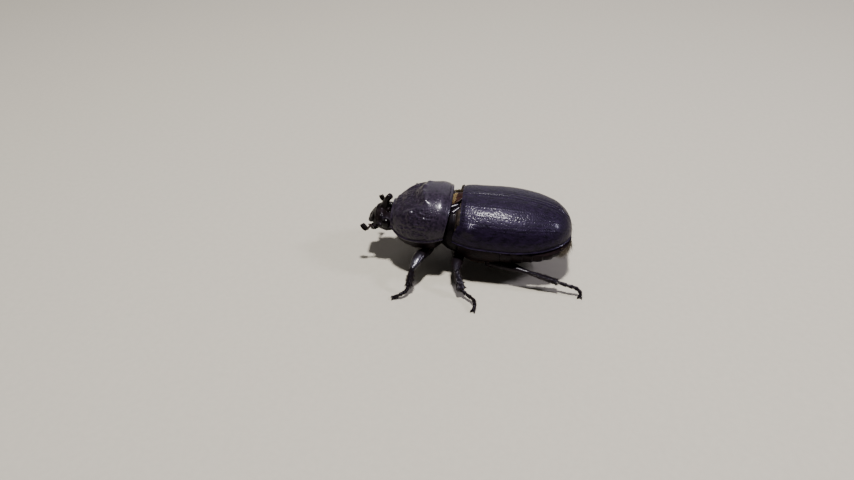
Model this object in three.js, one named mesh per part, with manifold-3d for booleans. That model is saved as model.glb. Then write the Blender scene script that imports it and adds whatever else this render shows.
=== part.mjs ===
// Horned scarab beetle of the Oryctes kind, life size, standing on six feet.
// Millimetres, +Z up, head toward -Y, the beetle's left side toward +X.
// Body sizes are laid out from the joint between thorax and wing cases (y = 0)
// and the whole beetle is centred on its footprint at the end.

import * as THREE from 'three';
import { mergeVertices } from 'three/addons/utils/BufferGeometryUtils.js';
import Module from 'manifold-3d';

const wasm = await Module();
wasm.setup();

// ---------------------------------------------------------------- sizes

const GAP = 0.1;            // clear space between neighbouring plates

// Wing cases: y, half width, height of side margin, dome height above it.
const ELYTRA = [
  [-0.6, 7.60, 8.80, 6.30],
  [1.5, 8.35, 8.45, 6.90],
  [5.0, 9.05, 8.00, 7.45],
  [12.0, 9.30, 7.80, 7.60],
  [18.0, 9.30, 7.90, 7.60],
  [24.0, 9.30, 8.15, 7.60],
];
const ELYTRA_END = 24.0;
const ELYTRA_POWER = 2.15;  // squareness of the cross section
const ELYTRA_WALL = 0.65;
const SUTURE_HALF_GAP = 0.06;
const BASE_AT_SUTURE = 1.8; // front edge of the wing cases beside the scutellum
const BASE_AT_MARGIN = 0.4;

// Pronotum: y, half width, height of side margin, top height.
const PRONOTUM = [
  [-12.4, 3.90, 8.60, 11.70],
  [-11.2, 5.50, 8.20, 13.10],
  [-9.2, 7.00, 7.90, 14.60],
  [-6.5, 7.90, 8.00, 15.50],
  [-4.0, 8.15, 8.30, 15.88],
  [-2.4, 8.05, 8.70, 15.98],
  [-1.1, 7.80, 9.00, 15.62],
  [-0.1, 7.50, 9.20, 14.95],
];
const PRONOTUM_FRONT = -12.4;
const PRONOTUM_REAR = -0.1;
const PRONOTUM_REAR_SWEEP = 1.35; // rear corners lie this far ahead of the rear middle
const PRONOTUM_POWER = 2.3;

// Underside of the prothorax: y, half width, bottom height.
const PROSTERNUM = [
  [-12.1, 3.60, 6.30],
  [-9.8, 6.20, 5.00],
  [-6.5, 7.30, 3.80],
  [-3.5, 7.40, 3.80],
  [-1.9, 6.60, 5.00],
];

// Underside behind the waist: y, bottom height.
const BELLY = [
  [-0.3, 4.60],
  [2.0, 2.60],
  [6.0, 1.50],
  [10.0, 1.70],
  [15.0, 2.80],
  [20.0, 4.20],
  [24.2, 5.40],
];
const BELLY_INSET = 0.5;    // belly is this much narrower than the wing cases
const BELLY_END = 24.1;

// Head capsule: y, half width, middle height, top height, bottom height.
const HEAD = [
  [-16.3, 2.10, 8.10, 9.95, 7.30],
  [-15.6, 2.75, 8.20, 10.95, 7.00],
  [-14.6, 3.40, 8.45, 11.15, 6.60],
  [-13.4, 3.75, 8.65, 10.45, 6.20],
  [-12.2, 3.50, 8.75, 10.15, 6.30],
  [-10.9, 2.90, 8.80, 10.10, 6.70],
];

// ---------------------------------------------------------------- curves

// Smooth curve through stations [s, a, b, ...] that keeps their rise and fall.
function along(stations, s) {
  const last = stations.length - 1;
  const x = Math.min(Math.max(s, stations[0][0]), stations[last][0]);
  let k = 0;
  while (k < last - 1 && x > stations[k + 1][0]) k += 1;
  const step = (i) => stations[i + 1][0] - stations[i][0];
  const rise = (i, c) => (stations[i + 1][c] - stations[i][c]) / step(i);
  const slope = (i, c) => {
    if (i === 0) return rise(0, c);
    if (i === last) return rise(last - 1, c);
    const before = rise(i - 1, c);
    const after = rise(i, c);
    if (before * after <= 0) return 0;
    const wa = 2 * step(i) + step(i - 1);
    const wb = step(i) + 2 * step(i - 1);
    return (wa + wb) / (wa / before + wb / after);
  };
  const h = step(k);
  const t = (x - stations[k][0]) / h;
  const values = [];
  for (let c = 1; c < stations[0].length; c += 1) {
    const low = stations[k][c];
    const high = stations[k + 1][c];
    const t2 = t * t;
    const t3 = t2 * t;
    values.push(
      low * (2 * t3 - 3 * t2 + 1) + high * (3 * t2 - 2 * t3)
      + h * slope(k, c) * (t3 - 2 * t2 + t) + h * slope(k + 1, c) * (t3 - t2));
  }
  return values;
}

// Rounding factor, 1 up to `from` and falling to 0 at `end`.
function cap(y, from, end, power) {
  const t = Math.min(Math.max((y - from) / (end - from), 0), 1);
  return (1 - t ** power) ** (1 / power);
}

// Soft step from 0 at `from` to 1 at `to`.
function smooth(from, to, x) {
  const t = Math.min(Math.max((x - from) / (to - from), 0), 1);
  return t * t * (3 - 2 * t);
}

// Quarter of a superellipse, v = 0 at the top and 1 at the side.
function arc(v, power) {
  const a = (v * Math.PI) / 2;
  return [Math.sin(a) ** (2 / power), Math.cos(a) ** (2 / power)];
}

// ---------------------------------------------------------------- solids

// Closed body from points and triangles, turned so that its faces look out.
function solid(points, triangles) {
  const vertProperties = new Float32Array(points.length * 3);
  points.forEach((p, i) => p.toArray(vertProperties, i * 3));
  let volume = 0;
  for (const [a, b, c] of triangles) {
    volume += points[a].dot(points[b].clone().cross(points[c]));
  }
  const turned = volume < 0 ? triangles.map(([a, b, c]) => [a, c, b]) : triangles;
  const triVerts = new Uint32Array(turned.flat());
  return new wasm.Manifold(new wasm.Mesh({ numProp: 3, vertProperties, triVerts }));
}

// Closed body through rings of equal count, with a fan over each end ring.
function loft(rings) {
  const count = rings[0].length;
  const points = rings.flat();
  const triangles = [];
  for (let r = 0; r + 1 < rings.length; r += 1) {
    for (let i = 0; i < count; i += 1) {
      const j = (i + 1) % count;
      const a = r * count + i;
      const b = r * count + j;
      triangles.push([a, b, b + count], [a, b + count, a + count]);
    }
  }
  for (const [r, flip] of [[0, true], [rings.length - 1, false]]) {
    const centre = new THREE.Vector3();
    rings[r].forEach((p) => centre.add(p));
    points.push(centre.divideScalar(count));
    const hub = points.length - 1;
    for (let i = 0; i < count; i += 1) {
      const a = r * count + i;
      const b = r * count + ((i + 1) % count);
      triangles.push(flip ? [hub, b, a] : [hub, a, b]);
    }
  }
  return solid(points, triangles);
}

// Cross section of the body at station y: an upper half of half width `high` up
// to `top` and a lower half of half width `low` down to `bottom`.
function bodyRing(y, { high, low }, seam, top, bottom, power, quarter = 4) {
  const ring = [];
  for (let i = 0; i < quarter * 4; i += 1) {
    const a = (Math.PI * i) / (quarter * 2);
    const upper = i <= quarter || i >= quarter * 3;
    const side = Math.abs(Math.sin(a)) ** (2 / power);
    const lift = Math.abs(Math.cos(a)) ** (2 / power);
    ring.push(new THREE.Vector3(
      Math.sign(Math.sin(a)) * side * (upper ? high : low),
      y,
      upper ? seam + (top - seam) * lift : seam - (seam - bottom) * lift));
  }
  return ring;
}

// Plate with an outer and an inner grid of the same size, closed round its rim.
function plate(outer, inner) {
  const rows = outer.length;
  const cols = outer[0].length;
  const points = [...outer.flat(), ...inner.flat()];
  const shift = rows * cols;
  const triangles = [];
  const quad = (a, b, c, d) => triangles.push([a, b, c], [a, c, d]);
  for (let r = 0; r + 1 < rows; r += 1) {
    for (let c = 0; c + 1 < cols; c += 1) {
      const a = r * cols + c;
      quad(a, a + 1, a + cols + 1, a + cols);
      quad(a + shift, a + cols + shift, a + cols + 1 + shift, a + 1 + shift);
    }
  }
  for (let c = 0; c + 1 < cols; c += 1) {
    const end = (rows - 1) * cols + c;
    quad(c, c + shift, c + 1 + shift, c + 1);
    quad(end, end + 1, end + 1 + shift, end + shift);
  }
  for (let r = 0; r + 1 < rows; r += 1) {
    const a = r * cols;
    const b = a + cols - 1;
    quad(a, a + cols, a + cols + shift, a + shift);
    quad(b, b + shift, b + cols + shift, b + cols);
  }
  return solid(points, triangles);
}

// Smooth limb through points. `sizes` lists [half width, half thickness] evenly
// along it and `wide` is the direction in which the half width is measured.
function limb(path, sizes, wide, { sides = 8, spans = 4, grow = 0 } = {}) {
  const curve = new THREE.CatmullRomCurve3(path.map((p) => new THREE.Vector3(...p)));
  const table = sizes.map((s, i) => [i / (sizes.length - 1), ...s]);
  const rings = [];
  for (let k = 0; k <= spans; k += 1) {
    const t = k / spans;
    const ahead = curve.getTangent(t);
    const centre = curve.getPoint(t);
    if (k === 0) centre.addScaledVector(ahead, -grow);
    if (k === spans) centre.addScaledVector(ahead, grow);
    const u = new THREE.Vector3(...wide);
    u.addScaledVector(ahead, -u.dot(ahead)).normalize();
    const w = ahead.clone().cross(u);
    const [a, b] = along(table, t);
    const ring = [];
    for (let i = 0; i < sides; i += 1) {
      const angle = (2 * Math.PI * (i + 0.5)) / sides;
      ring.push(centre.clone()
        .addScaledVector(u, (a + grow) * Math.cos(angle))
        .addScaledVector(w, (b + grow) * Math.sin(angle)));
    }
    rings.push(ring);
  }
  return loft(rings);
}

// Ellipsoid with poles along z, tilted by the given angles.
function ellipsoid(centre, radii, tilt = [0, 0, 0], around = 12, rows = 6) {
  const turn = new THREE.Euler(...tilt.map(THREE.MathUtils.degToRad));
  const place = (x, y, z) => new THREE.Vector3(x * radii[0], y * radii[1], z * radii[2])
    .applyEuler(turn).add(new THREE.Vector3(...centre));
  const rings = [];
  for (let k = 1; k < rows; k += 1) {
    const a = (Math.PI * k) / rows;
    const ring = [];
    for (let i = 0; i < around; i += 1) {
      const b = (2 * Math.PI * i) / around;
      ring.push(place(Math.sin(a) * Math.cos(b), Math.sin(a) * Math.sin(b), Math.cos(a)));
    }
    rings.push(ring);
  }
  const points = [...rings.flat(), place(0, 0, 1), place(0, 0, -1)];
  const top = points.length - 2;
  const triangles = [];
  for (let i = 0; i < around; i += 1) {
    const j = (i + 1) % around;
    for (let k = 0; k + 2 < rows; k += 1) {
      const a = k * around;
      triangles.push([a + i, a + around + i, a + around + j], [a + i, a + around + j, a + j]);
    }
    const low = (rows - 2) * around;
    triangles.push([top, i, j], [top + 1, low + j, low + i]);
  }
  return solid(points, triangles);
}

// Pointed tooth or spur with a four-sided root.
function spike(base, tip, radius) {
  const root = new THREE.Vector3(...base);
  const point = new THREE.Vector3(...tip);
  const ahead = point.clone().sub(root).normalize();
  const u = new THREE.Vector3(0, 0, 1).cross(ahead).setLength(radius);
  const w = ahead.clone().cross(u);
  const ring = [u, w, u.clone().negate(), w.clone().negate()].map((d) => root.clone().add(d));
  const triangles = [[0, 2, 1], [0, 3, 2], [0, 1, 4], [1, 2, 4], [2, 3, 4], [3, 0, 4]];
  return solid([...ring, point], triangles);
}

function box(min, max) {
  const size = max.map((v, i) => v - min[i]);
  const block = new THREE.BoxGeometry(...size);
  block.translate(...min.map((v, i) => v + size[i] / 2));
  block.deleteAttribute('normal');
  block.deleteAttribute('uv');
  const merged = mergeVertices(block);
  return new wasm.Manifold(new wasm.Mesh({
    numProp: 3,
    vertProperties: new Float32Array(merged.attributes.position.array),
    triVerts: new Uint32Array(merged.index.array),
  }));
}

const BELOW_FLOOR = box([-40, -40, -10], [40, 40, 0]);

// ---------------------------------------------------------------- wing cases

function elytraSize(y) {
  const [w, margin, dome] = along(ELYTRA, y);
  return {
    w: w * cap(y, 10.8, ELYTRA_END, 2.25),
    margin,
    dome: dome * cap(y, 7.0, ELYTRA_END, 2.3),
  };
}

// Point of the wing-case surface; u runs back, v from the suture to the margin.
function elytraPoint(u, v, inset) {
  const front = BASE_AT_SUTURE + (BASE_AT_MARGIN - BASE_AT_SUTURE) * smooth(0.5, 0.95, v);
  const y = front + (ELYTRA_END - inset - front) * Math.sin((u * Math.PI) / 2);
  const { w, margin, dome } = elytraSize(y + inset * smooth(0.7, 1, u));
  const lip = 1 - 0.02 * (1 - smooth(0, 1, y - front));
  const [side, up] = arc(v, ELYTRA_POWER);
  const x = Math.max(w * lip - inset, 0) * side;
  return [x, y, margin + Math.max(dome * lip - inset, 0) * up];
}

function elytron(sign) {
  const grid = (inset) => {
    const rows = [];
    for (let r = 0; r <= 14; r += 1) {
      const row = [];
      for (let c = 0; c <= 9; c += 1) {
        const [x, y, z] = elytraPoint((r / 14) * 0.985, c / 9, inset);
        row.push(new THREE.Vector3(sign * (x + SUTURE_HALF_GAP), y, z));
      }
      rows.push(row);
    }
    return rows;
  };
  return plate(grid(0), grid(ELYTRA_WALL));
}

// ---------------------------------------------------------------- prothorax

// Hollow in the front of the pronotum, with a raised rear rim and two pairs of knobs.
function hollow(x, y) {
  const far = Math.abs(x);
  const behind = y + 6.6 - 1.2 * (far / 4) ** 1.6;
  const knob = (atX, atY) => Math.exp(-(((far - atX) / 0.7) ** 2) - (((y - atY) / 0.6) ** 2));
  const floor = smooth(0.3, -1.7, behind) * smooth(-12.3, -10.2, y) * (1 - smooth(2.4, 5.3, far));
  const rim = Math.exp(-(((behind - 0.45) / 0.55) ** 2)) * (1 - smooth(3.6, 5.2, far));
  return -0.85 * floor + 0.18 * rim + 0.3 * knob(3.9, -5.5) + 0.26 * knob(1.2, -6.0);
}

function pronotumPoint(u, v, grow = 0) {
  const rear = PRONOTUM_REAR - PRONOTUM_REAR_SWEEP * v * v;
  const y = PRONOTUM_FRONT + (rear - PRONOTUM_FRONT) * u;
  const [w, margin, top] = along(PRONOTUM, y);
  const [side, up] = arc(Math.abs(v), PRONOTUM_POWER);
  const x = Math.sign(v) * (w + grow) * side;
  return [x, y, margin + (top - margin + grow) * up + hollow(x, y) * up];
}

function pronotum() {
  const rings = [];
  for (let r = 0; r <= 14; r += 1) {
    const u = r / 14;
    const ring = [];
    for (let c = -9; c <= 9; c += 1) {
      ring.push(new THREE.Vector3(...pronotumPoint(u, c / 9)));
    }
    const [, y, z] = pronotumPoint(u, 1);
    const [w] = along(PRONOTUM, y);
    for (const share of [0.5, -0.5]) {
      ring.push(new THREE.Vector3(w * share, y, z));
    }
    rings.push(ring);
  }
  return loft(rings);
}

function prosternum() {
  const rings = [];
  for (let r = 0; r <= 7; r += 1) {
    const y = -12.1 + (10.1 * r) / 7;
    const [w, bottom] = along(PROSTERNUM, y);
    const [, margin] = along(PRONOTUM, y);
    const seam = margin - GAP;
    rings.push(bodyRing(y, { high: w, low: w }, seam, seam, bottom, 2.1));
  }
  return loft(rings);
}

// ---------------------------------------------------------------- hind body

// Sizes of the trunk inside and below the wing cases.
function trunkSize(y) {
  const { w, margin, dome } = elytraSize(y + 0.9 * smooth(9, 15, y));
  const [bottom] = along(BELLY, y);
  const close = cap(y, 17.0, BELLY_END, 2.2);
  const seam = margin - 0.2;
  return {
    half: {
      high: Math.max(w * (1 - 0.04 * smooth(4, 1, y)) - ELYTRA_WALL - 0.3, 0.2),
      low: Math.max((along(ELYTRA, y)[0] - BELLY_INSET) * close, 0.2),
    },
    seam,
    top: seam + Math.max(dome - ELYTRA_WALL - 0.25, 0.2),
    bottom: seam - (seam - bottom) * close,
  };
}

function trunk(from, to, steps) {
  const rings = [];
  for (let r = 0; r <= steps; r += 1) {
    const y = from + ((to - from) * r) / steps;
    const { half, seam, top, bottom } = trunkSize(y);
    rings.push(bodyRing(y, half, seam, top, bottom, ELYTRA_POWER));
  }
  return loft(rings);
}

// Waist between pronotum and wing cases: y, half width, seam, top, bottom height.
const WAIST = [
  [-2.0, 5.60, 8.80, 12.60, 4.60],
  [-0.6, 6.60, 8.60, 13.50, 3.60],
  [1.5, 7.00, 8.40, 13.80, 2.60],
];

function waist() {
  const rings = [];
  for (let r = 0; r <= 4; r += 1) {
    const y = -1.95 + (3.4 * r) / 4;
    const [w, seam, top, bottom] = along(WAIST, y);
    rings.push(bodyRing(y, { high: w, low: w }, seam, top, bottom, 2.2));
  }
  return loft(rings);
}

// Triangular shield between the bases of the wing cases.
function scutellum(grow = 0) {
  const stations = [[-0.7, 1.9, 13.3], [0.4, 1.95, 13.9], [1.6, 1.3, 14.5], [2.8, 0.28, 15.0]];
  const outline = [[-1, 0], [-0.6, 0.22], [0, 0.3], [0.6, 0.22], [1, 0], [0.7, -0.75], [-0.7, -0.75]];
  const rings = stations.map(([y, half, z], i) => outline.map(([side, up]) => new THREE.Vector3(
    side * (half + grow),
    y + (i === 0 ? -grow : 0) + (i === 3 ? grow : 0),
    z + up + (up < 0 ? -grow : grow))));
  return loft(rings);
}

// ---------------------------------------------------------------- head

// Brow under the horn, and crown behind it: centre and radii.
const BROW = [[0, -15.0, 9.4], [2.0, 1.3, 1.5]];
const CROWN = [[0, -12.6, 9.75], [1.9, 1.3, 0.75]];

function headCapsule(grow = 0) {
  const rings = [];
  for (let r = 0; r <= 7; r += 1) {
    const y = -16.3 + (5.4 * r) / 7;
    const [w, seam, top, bottom] = along(HEAD, y);
    const half = { high: w + grow, low: w + grow };
    rings.push(bodyRing(y, half, seam, top + grow, bottom - grow, 2.2));
  }
  if (grow > 0) rings.push(rings[7].map((p) => p.clone().add(new THREE.Vector3(0, grow, 0))));
  return [BROW, CROWN].reduce((whole, [centre, radii]) => whole.add(
    ellipsoid(centre, radii.map((r) => r + grow), [0, 0, 0], 8, 4)), loft(rings));
}

// Shovel in front of the head: y, half width, top and bottom height.
const CLYPEUS = [
  [-16.4, 2.10, 9.80, 7.90],
  [-17.0, 1.70, 9.00, 7.70],
  [-17.4, 1.20, 8.35, 7.62],
];
const NOTCH = 0.5;          // depth of the notch in the front edge of the shovel

function clypeus() {
  const rings = CLYPEUS.map(([y, w, top, bottom]) => {
    const at = (c, z) => {
      const notch = NOTCH * (1 - smooth(0, 0.6, Math.abs(c))) * smooth(16.6, 17.4, -y);
      return new THREE.Vector3(w * c, y + notch, z);
    };
    const ring = [];
    for (let c = -4; c <= 4; c += 1) ring.push(at(c / 4, top - 0.03 * Math.abs(c)));
    for (let c = 4; c >= -4; c -= 1) ring.push(at(c / 4, bottom));
    return ring;
  });
  return loft(rings);
}

const HORN_PATH = [[0, -14.6, 9.1], [0, -14.3, 10.3], [0, -13.95, 11.4], [0, -13.65, 12.4],
  [0, -13.3, 13.05], [0, -12.85, 13.5]];
const HORN_SIZES = [[1.5, 1.45], [1.05, 1.15], [0.76, 0.82], [0.66, 0.62], [0.66, 0.6],
  [0.5, 0.46]];

const horn = (grow = 0) => limb(HORN_PATH, HORN_SIZES, [1, 0, 0], { sides: 8, spans: 6, grow });

const EYE = { centre: [3.2, -13.45, 8.95], radii: [0.85, 1.0, 1.1] };

function eye(side, grow = 0) {
  const [x, y, z] = EYE.centre;
  return ellipsoid([side * x, y, z], EYE.radii.map((r) => r + grow), [0, 0, 0], 10, 6);
}

// Ridge of the cheek that runs into the front of the eye.
function canthus(side) {
  return ellipsoid([side * 3.0, -14.5, 8.95], [1.0, 0.95, 0.36], [0, side * 12, 0], 8, 4);
}

const MOUTH = {
  mandible: {
    path: [[1.1, -16.0, 7.15], [1.7, -16.7, 7.2], [1.5, -17.35, 7.25]],
    sizes: [[0.6, 0.42], [0.5, 0.36], [0.28, 0.26]],
  },
  palp: {
    path: [[0.9, -15.1, 6.75], [1.3, -15.8, 6.35], [1.5, -16.4, 6.3], [1.45, -16.8, 6.45]],
    sizes: [[0.28, 0.28], [0.26, 0.26], [0.32, 0.32], [0.26, 0.26]],
  },
};

function mouthpart(kind, side, grow = 0) {
  const { path, sizes } = MOUTH[kind];
  const points = path.map(([x, y, z]) => [side * x, y, z]);
  return limb(points, sizes, [1, 0, 0], { sides: 5, spans: 3, grow });
}

function mentum(grow = 0) {
  return limb([[0, -13.2, 6.3], [0, -14.6, 6.3], [0, -15.8, 6.7]],
    [[1.2, 0.3], [1.1, 0.42], [0.6, 0.3]], [1, 0, 0], { sides: 6, spans: 4, grow });
}

// ---------------------------------------------------------------- feelers

const FEELERS = {
  left: {
    stalk: [[2.2, -15.0, 8.0], [3.3, -15.6, 8.2], [3.5, -16.7, 8.1], [3.6, -17.25, 7.45]],
    club: [[3.6, -17.3, 7.4], [3.75, -17.8, 7.95], [3.65, -18.35, 8.75]],
  },
  right: {
    stalk: [[-2.2, -15.3, 7.3], [-3.1, -15.7, 7.5], [-4.3, -15.7, 8.1], [-5.0, -15.2, 9.1]],
    club: [[-5.0, -15.3, 9.2], [-5.05, -15.55, 9.85], [-5.0, -15.85, 10.45]],
  },
};
const STALK_SIZES = [[0.42, 0.42], [0.3, 0.3], [0.26, 0.26], [0.26, 0.26]];
const CLUB_SIZES = [[0.3, 0.28], [0.6, 0.46], [0.62, 0.46], [0.36, 0.3]];

function stalk(side, grow = 0) {
  return limb(FEELERS[side].stalk, STALK_SIZES, [0, 0, 1], { sides: 5, spans: 5, grow });
}

function club(side, grow = 0) {
  return limb(FEELERS[side].club, CLUB_SIZES, [0, 1, 0], { sides: 7, spans: 5, grow });
}

// ---------------------------------------------------------------- legs

// Joint positions: path of the coxa, knee, ankle, and path of the foot to its claws.
const LEGS = {
  fore_left: {
    coxa: [[1.0, -5.2, 4.6], [3.6, -5.0, 4.1], [5.8, -4.9, 4.5]],
    knee: [11.7, -6.9, 4.5],
    ankle: [13.8, -7.45, 1.6],
    foot: [[14.75, -7.7, 1.25], [15.55, -8.5, 1.05], [15.95, -9.95, 0.3]],
  },
  mid_left: {
    coxa: [[1.1, 1.6, 3.6], [3.6, 1.6, 3.2], [5.6, 1.5, 3.8]],
    knee: [11.05, 1.65, 4.3],
    ankle: [13.6, 2.9, 1.7],
    foot: [[14.4, 4.05, 1.2], [15.8, 5.5, 1.1], [17.1, 5.85, 0.9], [17.85, 5.65, 0.3]],
  },
  hind_left: {
    coxa: [[1.0, 8.6, 3.2], [4.0, 8.5, 2.9], [6.8, 8.3, 3.6]],
    knee: [9.4, 15.6, 3.9],
    ankle: [9.8, 21.4, 2.3],
    foot: [[10.35, 23.65, 2.0], [10.5, 25.15, 1.65], [10.95, 26.05, 0.95], [11.25, 26.0, 0.3]],
  },
  fore_right: {
    coxa: [[-1.0, -5.2, 4.6], [-3.6, -5.0, 4.1], [-5.8, -4.9, 4.5]],
    knee: [-11.5, -5.6, 4.6],
    ankle: [-15.0, -5.2, 1.5],
    foot: [[-15.8, -5.8, 0.85], [-16.6, -6.7, 0.95], [-17.3, -7.6, 0.3]],
  },
  mid_right: {
    coxa: [[-1.1, 1.6, 3.6], [-3.6, 1.6, 3.2], [-5.6, 1.5, 3.8]],
    knee: [-10.6, 0.4, 4.4],
    ankle: [-14.4, -0.2, 1.7],
    foot: [[-15.9, 0.3, 1.0], [-17.3, 1.2, 1.0], [-18.5, 1.9, 0.3]],
  },
  hind_right: {
    coxa: [[-1.0, 8.6, 3.2], [-4.0, 8.5, 2.9], [-6.8, 8.3, 3.6]],
    knee: [-10.4, 12.6, 4.2],
    ankle: [-13.4, 17.6, 2.2],
    foot: [[-14.2, 19.3, 1.6], [-15.2, 20.7, 1.3], [-16.0, 21.5, 0.3]],
  },
};

// Rise of the femur's middle, then half widths and half thicknesses of the segments;
// teeth and spurs are the place along the tibia, the reach outward and the reach ahead.
const SEGMENTS = {
  fore: {
    arch: 0.8,
    coxa: [[1.3, 1.2], [1.5, 1.35], [1.1, 1.0]],
    femur: [[0.8, 0.7], [1.2, 0.85], [1.1, 0.78], [0.62, 0.5]],
    tibia: [[0.48, 0.44], [0.56, 0.46], [0.62, 0.46], [0.52, 0.42]],
    teeth: [[0.42, 0.95, 0.1], [0.68, 1.1, 0.15], [0.95, 1.05, 0.45]],
    spurs: [[0.5, -1.0, 0.2], [0.95, -0.8, 0.9]],
  },
  mid: {
    arch: 0.4,
    coxa: [[1.3, 1.2], [1.5, 1.3], [1.0, 1.0]],
    femur: [[0.8, 0.7], [1.2, 0.85], [1.1, 0.78], [0.62, 0.5]],
    tibia: [[0.5, 0.46], [0.62, 0.5], [0.8, 0.54], [0.96, 0.58]],
    teeth: [[0.5, 1.0, 0.15], [0.72, 1.2, 0.25], [0.97, 1.4, 0.6]],
    spurs: [[0.97, -0.9, 1.0]],
  },
  hind: {
    arch: 0.25,
    coxa: [[1.2, 1.1], [1.5, 1.2], [1.2, 1.0]],
    femur: [[0.85, 0.7], [1.0, 0.72], [0.82, 0.62], [0.5, 0.42]],
    tibia: [[0.44, 0.4], [0.56, 0.46], [0.66, 0.48], [0.74, 0.5]],
    teeth: [[0.4, 0.8, 0.15], [0.68, 1.0, 0.2], [0.97, 1.1, 0.5]],
    spurs: [[0.42, -0.8, 0.2], [0.97, -0.9, 1.0]],
  },
};
const TARSUS_NARROW = 0.26;
const TARSUS_WIDE = 0.4;
const CLAW_SPREAD = 0.45;

const vec = (p) => new THREE.Vector3(...p);

// Level direction square to a run of leg, pointing to its front or outer side.
function levelSide(from, to) {
  return vec(to).sub(vec(from)).cross(new THREE.Vector3(0, 0, 1)).normalize();
}

function femur(name, grow = 0) {
  const { coxa, knee } = LEGS[name];
  const hip = coxa[2];
  const { arch, femur: sizes } = SEGMENTS[name.split('_')[0]];
  const mid = hip.map((v, i) => (v + knee[i]) / 2 + (i === 2 ? arch : 0));
  const wide = levelSide(hip, knee).toArray();
  return limb([hip, mid, knee], sizes, wide, { sides: 6, spans: 4, grow });
}

function coxa(name, grow = 0) {
  const sizes = SEGMENTS[name.split('_')[0]].coxa;
  return limb(LEGS[name].coxa, sizes, [0, 1, 0], { sides: 6, spans: 3, grow });
}

function tibia(name, grow = 0) {
  const { knee, ankle } = LEGS[name];
  const { tibia: sizes, teeth, spurs } = SEGMENTS[name.split('_')[0]];
  const side = levelSide(knee, ankle);
  const run = vec(ankle).sub(vec(knee));
  const ahead = run.clone().normalize();
  const shaft = limb([knee, ankle], sizes, side.toArray(), { sides: 6, spans: 4, grow });
  if (grow > 0) return shaft;
  const front = name.endsWith('left') ? 1 : -1;
  const thorn = ([t, across, forward], radius) => {
    const base = vec(knee).addScaledVector(run, t * 0.9);
    const tip = base.clone().addScaledVector(side, -front * across).addScaledVector(ahead, forward);
    base.addScaledVector(side, -front * across * 0.35);
    return spike(base.toArray(), tip.toArray(), radius);
  };
  const bodies = [...teeth.map((t) => thorn(t, 0.42)), ...spurs.map((s) => thorn(s, 0.3))];
  return bodies.reduce((whole, body) => whole.add(body), shaft);
}

function tarsus(name, grow = 0) {
  const { ankle, foot } = LEGS[name];
  const path = [ankle, ...foot];
  const sizes = [];
  for (let joint = 0; joint < 5; joint += 1) {
    sizes.push([TARSUS_NARROW, TARSUS_NARROW], [TARSUS_WIDE, TARSUS_WIDE]);
  }
  sizes.push([TARSUS_NARROW, TARSUS_NARROW]);
  const shaft = limb(path, sizes, [0, 0, 1], { sides: 5, spans: 10, grow });
  if (grow > 0) return shaft;
  const [before, last] = foot.slice(-2);
  const end = vec(last);
  const ahead = end.clone().sub(vec(before)).setZ(0).normalize();
  const aside = ahead.clone().cross(new THREE.Vector3(0, 0, 1));
  const claws = [-1, 1].map((sign) => {
    const bend = end.clone().addScaledVector(ahead, 0.35)
      .addScaledVector(aside, sign * CLAW_SPREAD * 0.7).setZ(0.42);
    const tip = end.clone().addScaledVector(ahead, 0.6)
      .addScaledVector(aside, sign * CLAW_SPREAD).setZ(-0.1);
    return limb([end.toArray(), bend.toArray(), tip.toArray()],
      [[0.26, 0.26], [0.26, 0.26], [0.2, 0.2]], aside.toArray(), { sides: 4, spans: 2 });
  });
  return claws.reduce((whole, claw) => whole.add(claw), shaft).subtract(BELOW_FLOOR);
}

// ---------------------------------------------------------------- assembly

const group = new THREE.Group();
group.name = 'rhinoceros_beetle';

function addPart(name, body, color, roughness = 0.35) {
  const mesh = body.getMesh();
  const geometry = new THREE.BufferGeometry();
  geometry.setAttribute('position', new THREE.BufferAttribute(mesh.vertProperties, 3));
  geometry.setIndex(new THREE.BufferAttribute(mesh.triVerts, 1));
  geometry.computeVertexNormals();
  const material = new THREE.MeshStandardMaterial({ color, roughness, metalness: 0 });
  const node = new THREE.Mesh(geometry, material);
  node.name = name;
  group.add(node);
}

// Body with each cutter taken away from it.
const without = (body, ...cutters) => cutters.reduce((rest, cutter) => rest.subtract(cutter), body);

const BLACK = 0x1b1920;
const BROWN = 0x2a1714;
const EYE_BLACK = 0x0c0b0e;
const SIDES = [['left', 1], ['right', -1]];
const LEG_NAMES = Object.keys(LEGS);
const legCutters = (place) => LEG_NAMES.filter((name) => name.startsWith(place))
  .flatMap((name) => [coxa(name, GAP), femur(name, GAP)]);

const shield = scutellum();
const shieldSpace = scutellum(GAP);
const headSpace = headCapsule(GAP);
const eyeSpaces = SIDES.map(([, sign]) => eye(sign, GAP));
const thoraxTop = without(pronotum(), headSpace, ...eyeSpaces);
const thoraxFloor = without(prosternum(), headSpace, ...legCutters('fore'));

const capsule = SIDES.reduce((whole, [, sign]) => whole.add(canthus(sign)), headCapsule());
const headCutters = SIDES.flatMap(([side, sign]) => [
  stalk(side, GAP), mouthpart('mandible', sign, GAP), mouthpart('palp', sign, GAP),
]);
addPart('head', without(capsule, horn(GAP), mentum(GAP), ...eyeSpaces, ...headCutters), BLACK, 0.4);
addPart('clypeus', clypeus(), BLACK, 0.4);
addPart('head_horn', horn(), BLACK, 0.35);
addPart('mentum', without(mentum(), mouthpart('palp', 1, GAP), mouthpart('palp', -1, GAP)), BROWN);
for (const [side, sign] of SIDES) {
  addPart(`eye_${side}`, eye(sign), EYE_BLACK, 0.15);
  addPart(`antenna_${side}`, without(stalk(side), club(side, GAP)), BROWN);
  addPart(`antenna_club_${side}`, club(side), BROWN, 0.5);
  addPart(`mandible_${side}`, mouthpart('mandible', sign), BLACK);
  addPart(`palp_${side}`, mouthpart('palp', sign), BROWN);
}

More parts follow.
